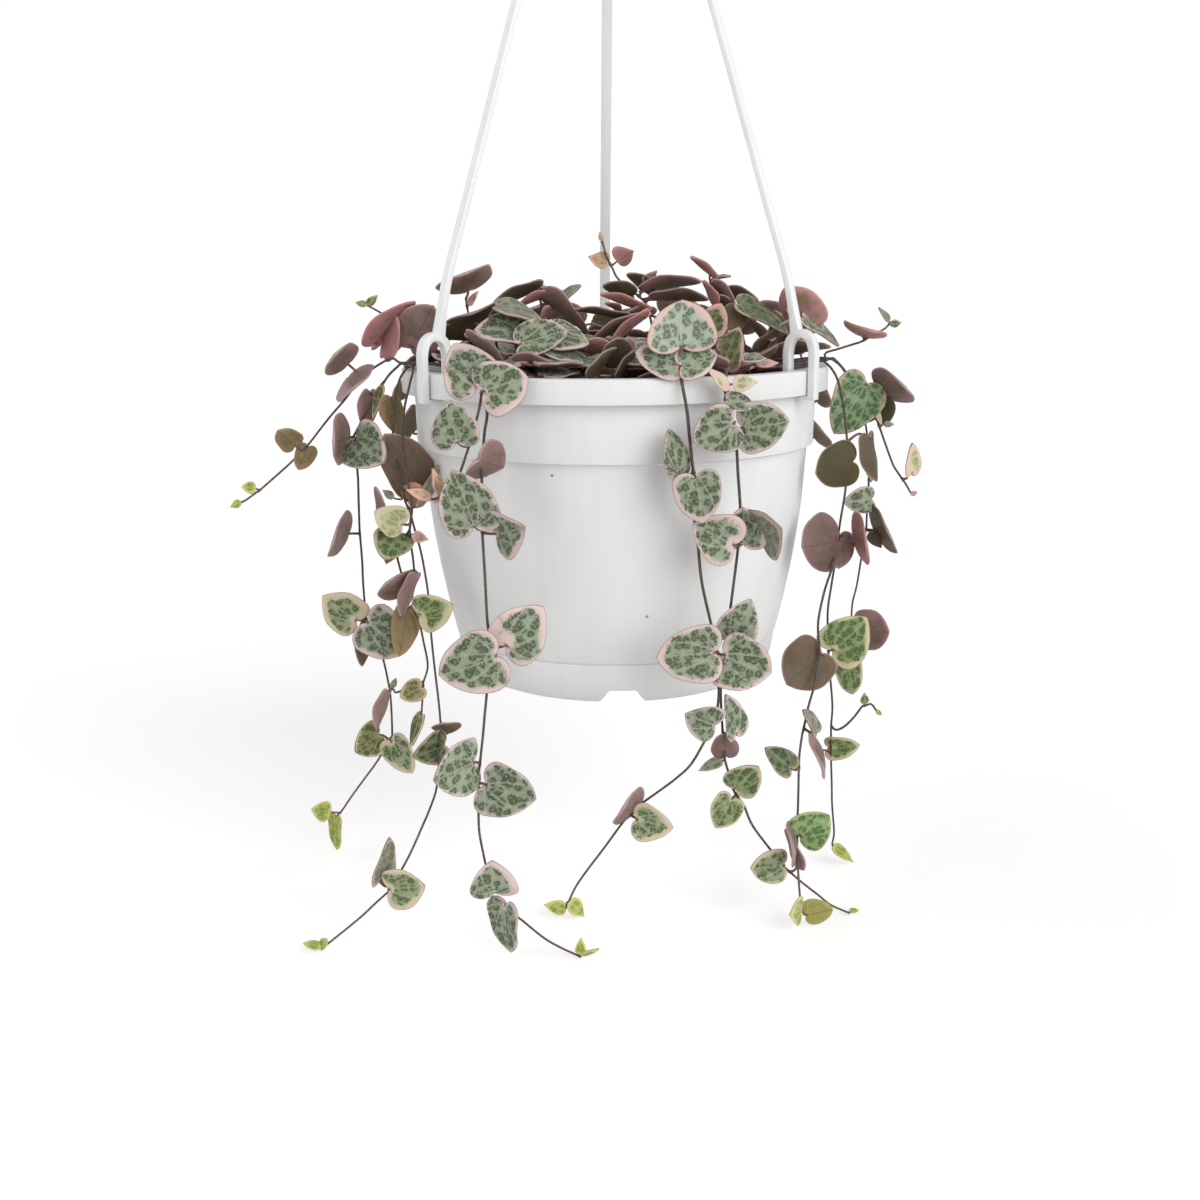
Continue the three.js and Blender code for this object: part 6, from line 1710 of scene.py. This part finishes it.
def make_hook(paint):
    hub = lathe("hanger_hook_body", [
        (0, HUB_LOW), (HUB_RADIUS - 1.5, HUB_LOW), (HUB_RADIUS - 0.4, HUB_LOW + 0.6),
        (HUB_RADIUS, HUB_LOW + 1.6), (HUB_RADIUS, HUB_HIGH - 1), (HUB_RADIUS - 0.4, HUB_HIGH - 0.3),
        (HUB_RADIUS - 1, HUB_HIGH), (0, HUB_HIGH),
    ], 64)
    slots = []
    for angle in ARM_ANGLES.values():
        rows = [(arm_radius(z), z, 0.8 + GAP) for z in (HUB_LOW - 3, HUB_HIGH + 3)]
        slots.append(strip("slot", rows, 2, ARM_WIDTH + 2 * GAP, angle))
    combined(hub, slots, "DIFFERENCE")
    top = HOOK_TO_RIM + HOOK_ROD
    middle = top - HOOK_BEND
    line = smooth_line([
        (0, 0, HUB_HIGH - 2), (0, 0, HUB_HIGH + 3.5), (1.4, 0, middle - 11), (6.8, 0, middle - 6.7),
        (HOOK_BEND, 0, middle), (6.36, 0, middle + 6.36), (0, 0, top), (-6.36, 0, middle + 6.36),
        (-HOOK_BEND, 0, middle), (-8.2, 0, middle - 4.4),
    ], 56)
    body = bmesh.new()
    rings = []
    for i, point in enumerate(line):
        along = (line[min(i + 1, len(line) - 1)] - line[max(i - 1, 0)]).normalized()
        flat = Vector((0, 1, 0))
        out = along.cross(flat)
        thick = HOOK_ROD * (0.8 if i == len(line) - 1 else 0.96)
        ring = []
        for k in range(20):
            turn = 2 * math.pi * k / 20
            offset = (flat * math.cos(turn) + out * math.sin(turn)) * thick
            ring.append(body.verts.new(placed(point + offset)))
        rings.append(ring)
    for low, high in zip(rings, rings[1:]):
        for k in range(20):
            body.faces.new([low[k], low[(k + 1) % 20], high[(k + 1) % 20], high[k]])
    body.faces.new(rings[0][::-1])
    body.faces.new(rings[-1])
    combined(hub, [closed_object("rod", body)], "UNION")
    soft_edges(hub, 0.2, 2)
    finished(hub, paint, "hanger_plastic", "hanger_hook")


def crumb(name, seed):
    """A small rough lump."""
    chance = random.Random(seed)
    body = bmesh.new()
    bmesh.ops.create_icosphere(body, subdivisions=2, radius=1)
    for vertex in body.verts:
        vertex.co *= chance.uniform(0.72, 1.12)
        vertex.co.z *= 0.8
    thing = body_object(name, body)
    smooth(thing.data)
    return thing


def crumb_tree():
    tree, given, result = geometry_tree("crumbs", {
        "Grain": "NodeSocketObject", "Spacing": "NodeSocketFloat", "Smallest": "NodeSocketFloat",
        "Largest": "NodeSocketFloat", "Seed": "NodeSocketInt", "Grain material": "NodeSocketMaterial",
        "Keep ground": "NodeSocketBool",
    })
    points = tree.add("GeometryNodeDistributePointsOnFaces", {
        "Mesh": given["Geometry"], "Distance Min": given["Spacing"], "Density Max": 4000000.0,
        "Seed": given["Seed"],
    }, distribute_method="POISSON")
    turn = tree.add("FunctionNodeRandomValue", {
        0: (0, 0, 0), 1: (6.28, 6.28, 6.28), "Seed": 3,
    }, data_type="FLOAT_VECTOR")
    size = tree.add("FunctionNodeRandomValue", {
        2: given["Smallest"], 3: given["Largest"], "Seed": 5,
    }, data_type="FLOAT")
    grain = tree.add("GeometryNodeObjectInfo", {"Object": given["Grain"]}).outputs["Geometry"]
    copies = tree.add("GeometryNodeInstanceOnPoints", {
        "Points": points.outputs["Points"], "Instance": grain,
        "Rotation": tree.add("FunctionNodeEulerToRotation", {0: turn.outputs["Value"]}),
        "Scale": size.outputs[1],
    })
    grains = tree.add("GeometryNodeRealizeInstances", {"Geometry": copies})
    grains = tree.add("GeometryNodeSetMaterial", {"Geometry": grains, "Material": given["Grain material"]})
    whole = tree.add("GeometryNodeJoinGeometry")
    ground = tree.add("GeometryNodeSwitch", {
        "Switch": given["Keep ground"], "True": given["Geometry"],
    }, input_type="GEOMETRY")
    tree.put(whole.inputs[0], ground)
    tree.put(whole.inputs[0], grains)
    tree.put(result, whole)
    return tree.tree


SOIL_RADIUS = 63.6
SOIL_STEPS = 96
SOIL_RINGS = 26
SOIL_SIDE = [(63.1, -24.7), (60.6, -26.2), (56.8, -65), (51.4, -89), (48.2, -95.2)]
CRUMB_RINGS = (0, 16, 32, 47, 61.5)
CRUMB_STEPS = 48
CRUMB_LIFT = 0.2
# Spacing, smallest and largest size, and seed.
CRUMBS = {"soil_crumbs": (2.5, 0.6, 1.7, 11), "soil_perlite": (9, 0.45, 1.1, 23)}


def soil_height(x, y):
    """Low mounds, level at the wall."""
    broad = math.sin(x * 0.11 + 1) * math.cos(y * 0.09) * 0.7
    mound = broad + math.sin(x * 0.31) * math.sin(y * 0.27 + 2) * 0.35
    return SOIL_TOP - 0.4 + mound * (1 - (math.hypot(x, y) / 64) ** 4)


def ground_ring(body, radius, steps, lift=0):
    """A ring of points on the soil, or its middle as many times."""
    if radius == 0:
        return [body.verts.new(placed((0, 0, soil_height(0, 0) + lift)))] * steps
    spots = [polar(360 * k / steps, radius, 0) for k in range(steps)]
    lifted = [placed((spot.x, spot.y, soil_height(spot.x, spot.y) + lift)) for spot in spots]
    return [body.verts.new(spot) for spot in lifted]


def ring_faces(body, inner, outer):
    for k in range(len(outer)):
        n = (k + 1) % len(outer)
        corners = [inner[k], outer[k], outer[n], inner[n]]
        body.faces.new([vertex for i, vertex in enumerate(corners) if vertex not in corners[:i]])


def make_soil(ground_paint, grain_paint):
    body = bmesh.new()
    last = ground_ring(body, 0, SOIL_STEPS)
    for i in range(1, SOIL_RINGS + 1):
        ring = ground_ring(body, SOIL_RADIUS * i / SOIL_RINGS, SOIL_STEPS)
        ring_faces(body, last, ring)
        last = ring
    for radius, z in SOIL_SIDE:
        ring = [body.verts.new(placed(polar(360 * k / SOIL_STEPS, radius, z))) for k in range(SOIL_STEPS)]
        ring_faces(body, last, ring)
        last = ring
    body.faces.new(last[::-1])
    ground = closed_object("soil_fill", body)
    smooth(ground.data)
    finished(ground, ground_paint, "soil", "soil")
    grain = crumb("grain", 7)
    tree = crumb_tree()
    paints = {"soil_crumbs": ground_paint, "soil_perlite": grain_paint}
    for name, (spacing, smallest, largest, seed) in CRUMBS.items():
        body = bmesh.new()
        rings = [ground_ring(body, radius, CRUMB_STEPS, CRUMB_LIFT) for radius in CRUMB_RINGS]
        for inner, outer in zip(rings, rings[1:]):
            ring_faces(body, inner, outer)
        mesh = bpy.data.meshes.new(name + "_ground")
        body.to_mesh(mesh)
        body.free()
        grains = evaluated(name, mesh, tree, {
            "Grain": grain, "Spacing": spacing * MM, "Smallest": smallest * MM, "Largest": largest * MM,
            "Seed": seed, "Grain material": paints[name], "Keep ground": False,
        })
        finished(grains, None, "soil")
    bpy.data.objects.remove(grain)


# ---- growing everything --------------------------------------------------------------------------
GRAIN = grain_group()
white = plastic_material("pot_white", (238, 239, 238), 0.36, POT_SPECKS)
strap_white = plastic_material("hanger_white", (242, 243, 243), 0.3)
make_pot(white)
for side, angle in ARM_ANGLES.items():
    make_arm(side, angle, strap_white)
make_hook(strap_white)
make_soil(soil_material(), perlite_material())

heart = leaf_sheet("heart_sheet", HEART_HALF)
young = leaf_sheet("young_sheet", YOUNG_HALF)
tree = growth_tree()
leaf_skin = leaf_material()
stem_skin = stem_material()
chance = random.Random(SEED)
for name, path, twigs, leaves in laid_out_plants():
    grown = evaluated(name + "_growth", growth_mesh(name, path, twigs, leaves, chance), tree, {
        "Heart sheet": heart, "Young sheet": young, "Stem sides": 8, "Stem step": 0.0011,
        "Leaf material": leaf_skin, "Stem material": stem_skin,
    })
    finished(grown, None, "foliage", *([name] if name != "crown_filler" else []))
bpy.data.objects.remove(heart)
bpy.data.objects.remove(young)


# ---- stage, light and camera ---------------------------------------------------------------------
# The lamps: strength, spread in degrees, and the way their light goes.
LAMPS = {
    "main_lamp": (1.7, 50, (-1.35, 1.95, -1.05)),
    "left_lamp": (1.9, 110, (1.0, 0.0, -0.1)),
    "right_lamp": (0.8, 90, (-1.0, 0.1, -0.15)),
}
ROOM_STRENGTH = 0.26
FLOOR_TONE = 0.97
FLOOR_GLOW = 0.35


def make_stage():
    body = bmesh.new()
    bmesh.ops.create_grid(body, x_segments=1, y_segments=1, size=18)
    bmesh.ops.translate(body, verts=body.verts, vec=placed((0, 0, FLOOR)))
    floor = body_object("floor", body)
    paint, tree, shader = material("floor_white")
    shader.inputs["Base Color"].default_value = (FLOOR_TONE, FLOOR_TONE, FLOOR_TONE, 1)
    shader.inputs["Roughness"].default_value = 1
    shader.inputs["Specular IOR Level"].default_value = 0
    shader.inputs["Emission Color"].default_value = (1, 1, 1, 1)
    in_view = tree.add("ShaderNodeLightPath").outputs["Is Camera Ray"]
    tree.put(shader.inputs["Emission Strength"], tree.product(in_view, FLOOR_GLOW))
    floor.data.materials.append(paint)


CAMERA_AT = (-5.49, -500, 30.6)
CAMERA_PITCH = 12.45
CAMERA_ROLL = 0.48
CAMERA_LENS = 44.85


def make_camera():
    lens = bpy.data.cameras.new("camera")
    lens.lens = CAMERA_LENS
    lens.sensor_width = 36
    lens.clip_start = 0.01
    lens.clip_end = 50
    camera = linked("camera", lens)
    pitch = Matrix.Rotation(math.radians(90 - CAMERA_PITCH), 4, "X")
    roll = Matrix.Rotation(math.radians(-CAMERA_ROLL), 4, "Z")
    camera.matrix_world = Matrix.Translation(placed(CAMERA_AT)) @ (pitch @ roll)
    bpy.context.scene.camera = camera


def make_lamp(name, strength, spread, aim):
    """A far lamp as wide as a softbox."""
    light = bpy.data.lights.new(name, "SUN")
    light.energy = strength
    light.angle = math.radians(spread)
    linked(name, light).rotation_euler = Vector(aim).to_track_quat("-Z", "Y").to_euler()


def make_world():
    """White behind everything, and a softer white as the light of the room."""
    world = bpy.data.worlds.new("studio")
    world.use_nodes = True
    tree = Tree(world.node_tree)
    room = next(node for node in world.node_tree.nodes if node.type == "BACKGROUND")
    path = tree.add("ShaderNodeLightPath").outputs
    in_view = tree.math("MULTIPLY_ADD", path["Is Camera Ray"], 1.05 - ROOM_STRENGTH, ROOM_STRENGTH)
    mirrored = tree.math("MULTIPLY_ADD", path["Is Glossy Ray"], 0.95 - ROOM_STRENGTH, in_view)
    tree.put(room.inputs["Strength"], mirrored)
    room.inputs["Color"].default_value = (1, 1, 1, 1)
    bpy.context.scene.world = world


make_stage()
make_camera()
for name, lamp in LAMPS.items():
    make_lamp(name, *lamp)
make_world()
bpy.context.scene.view_settings.view_transform = "Standard"
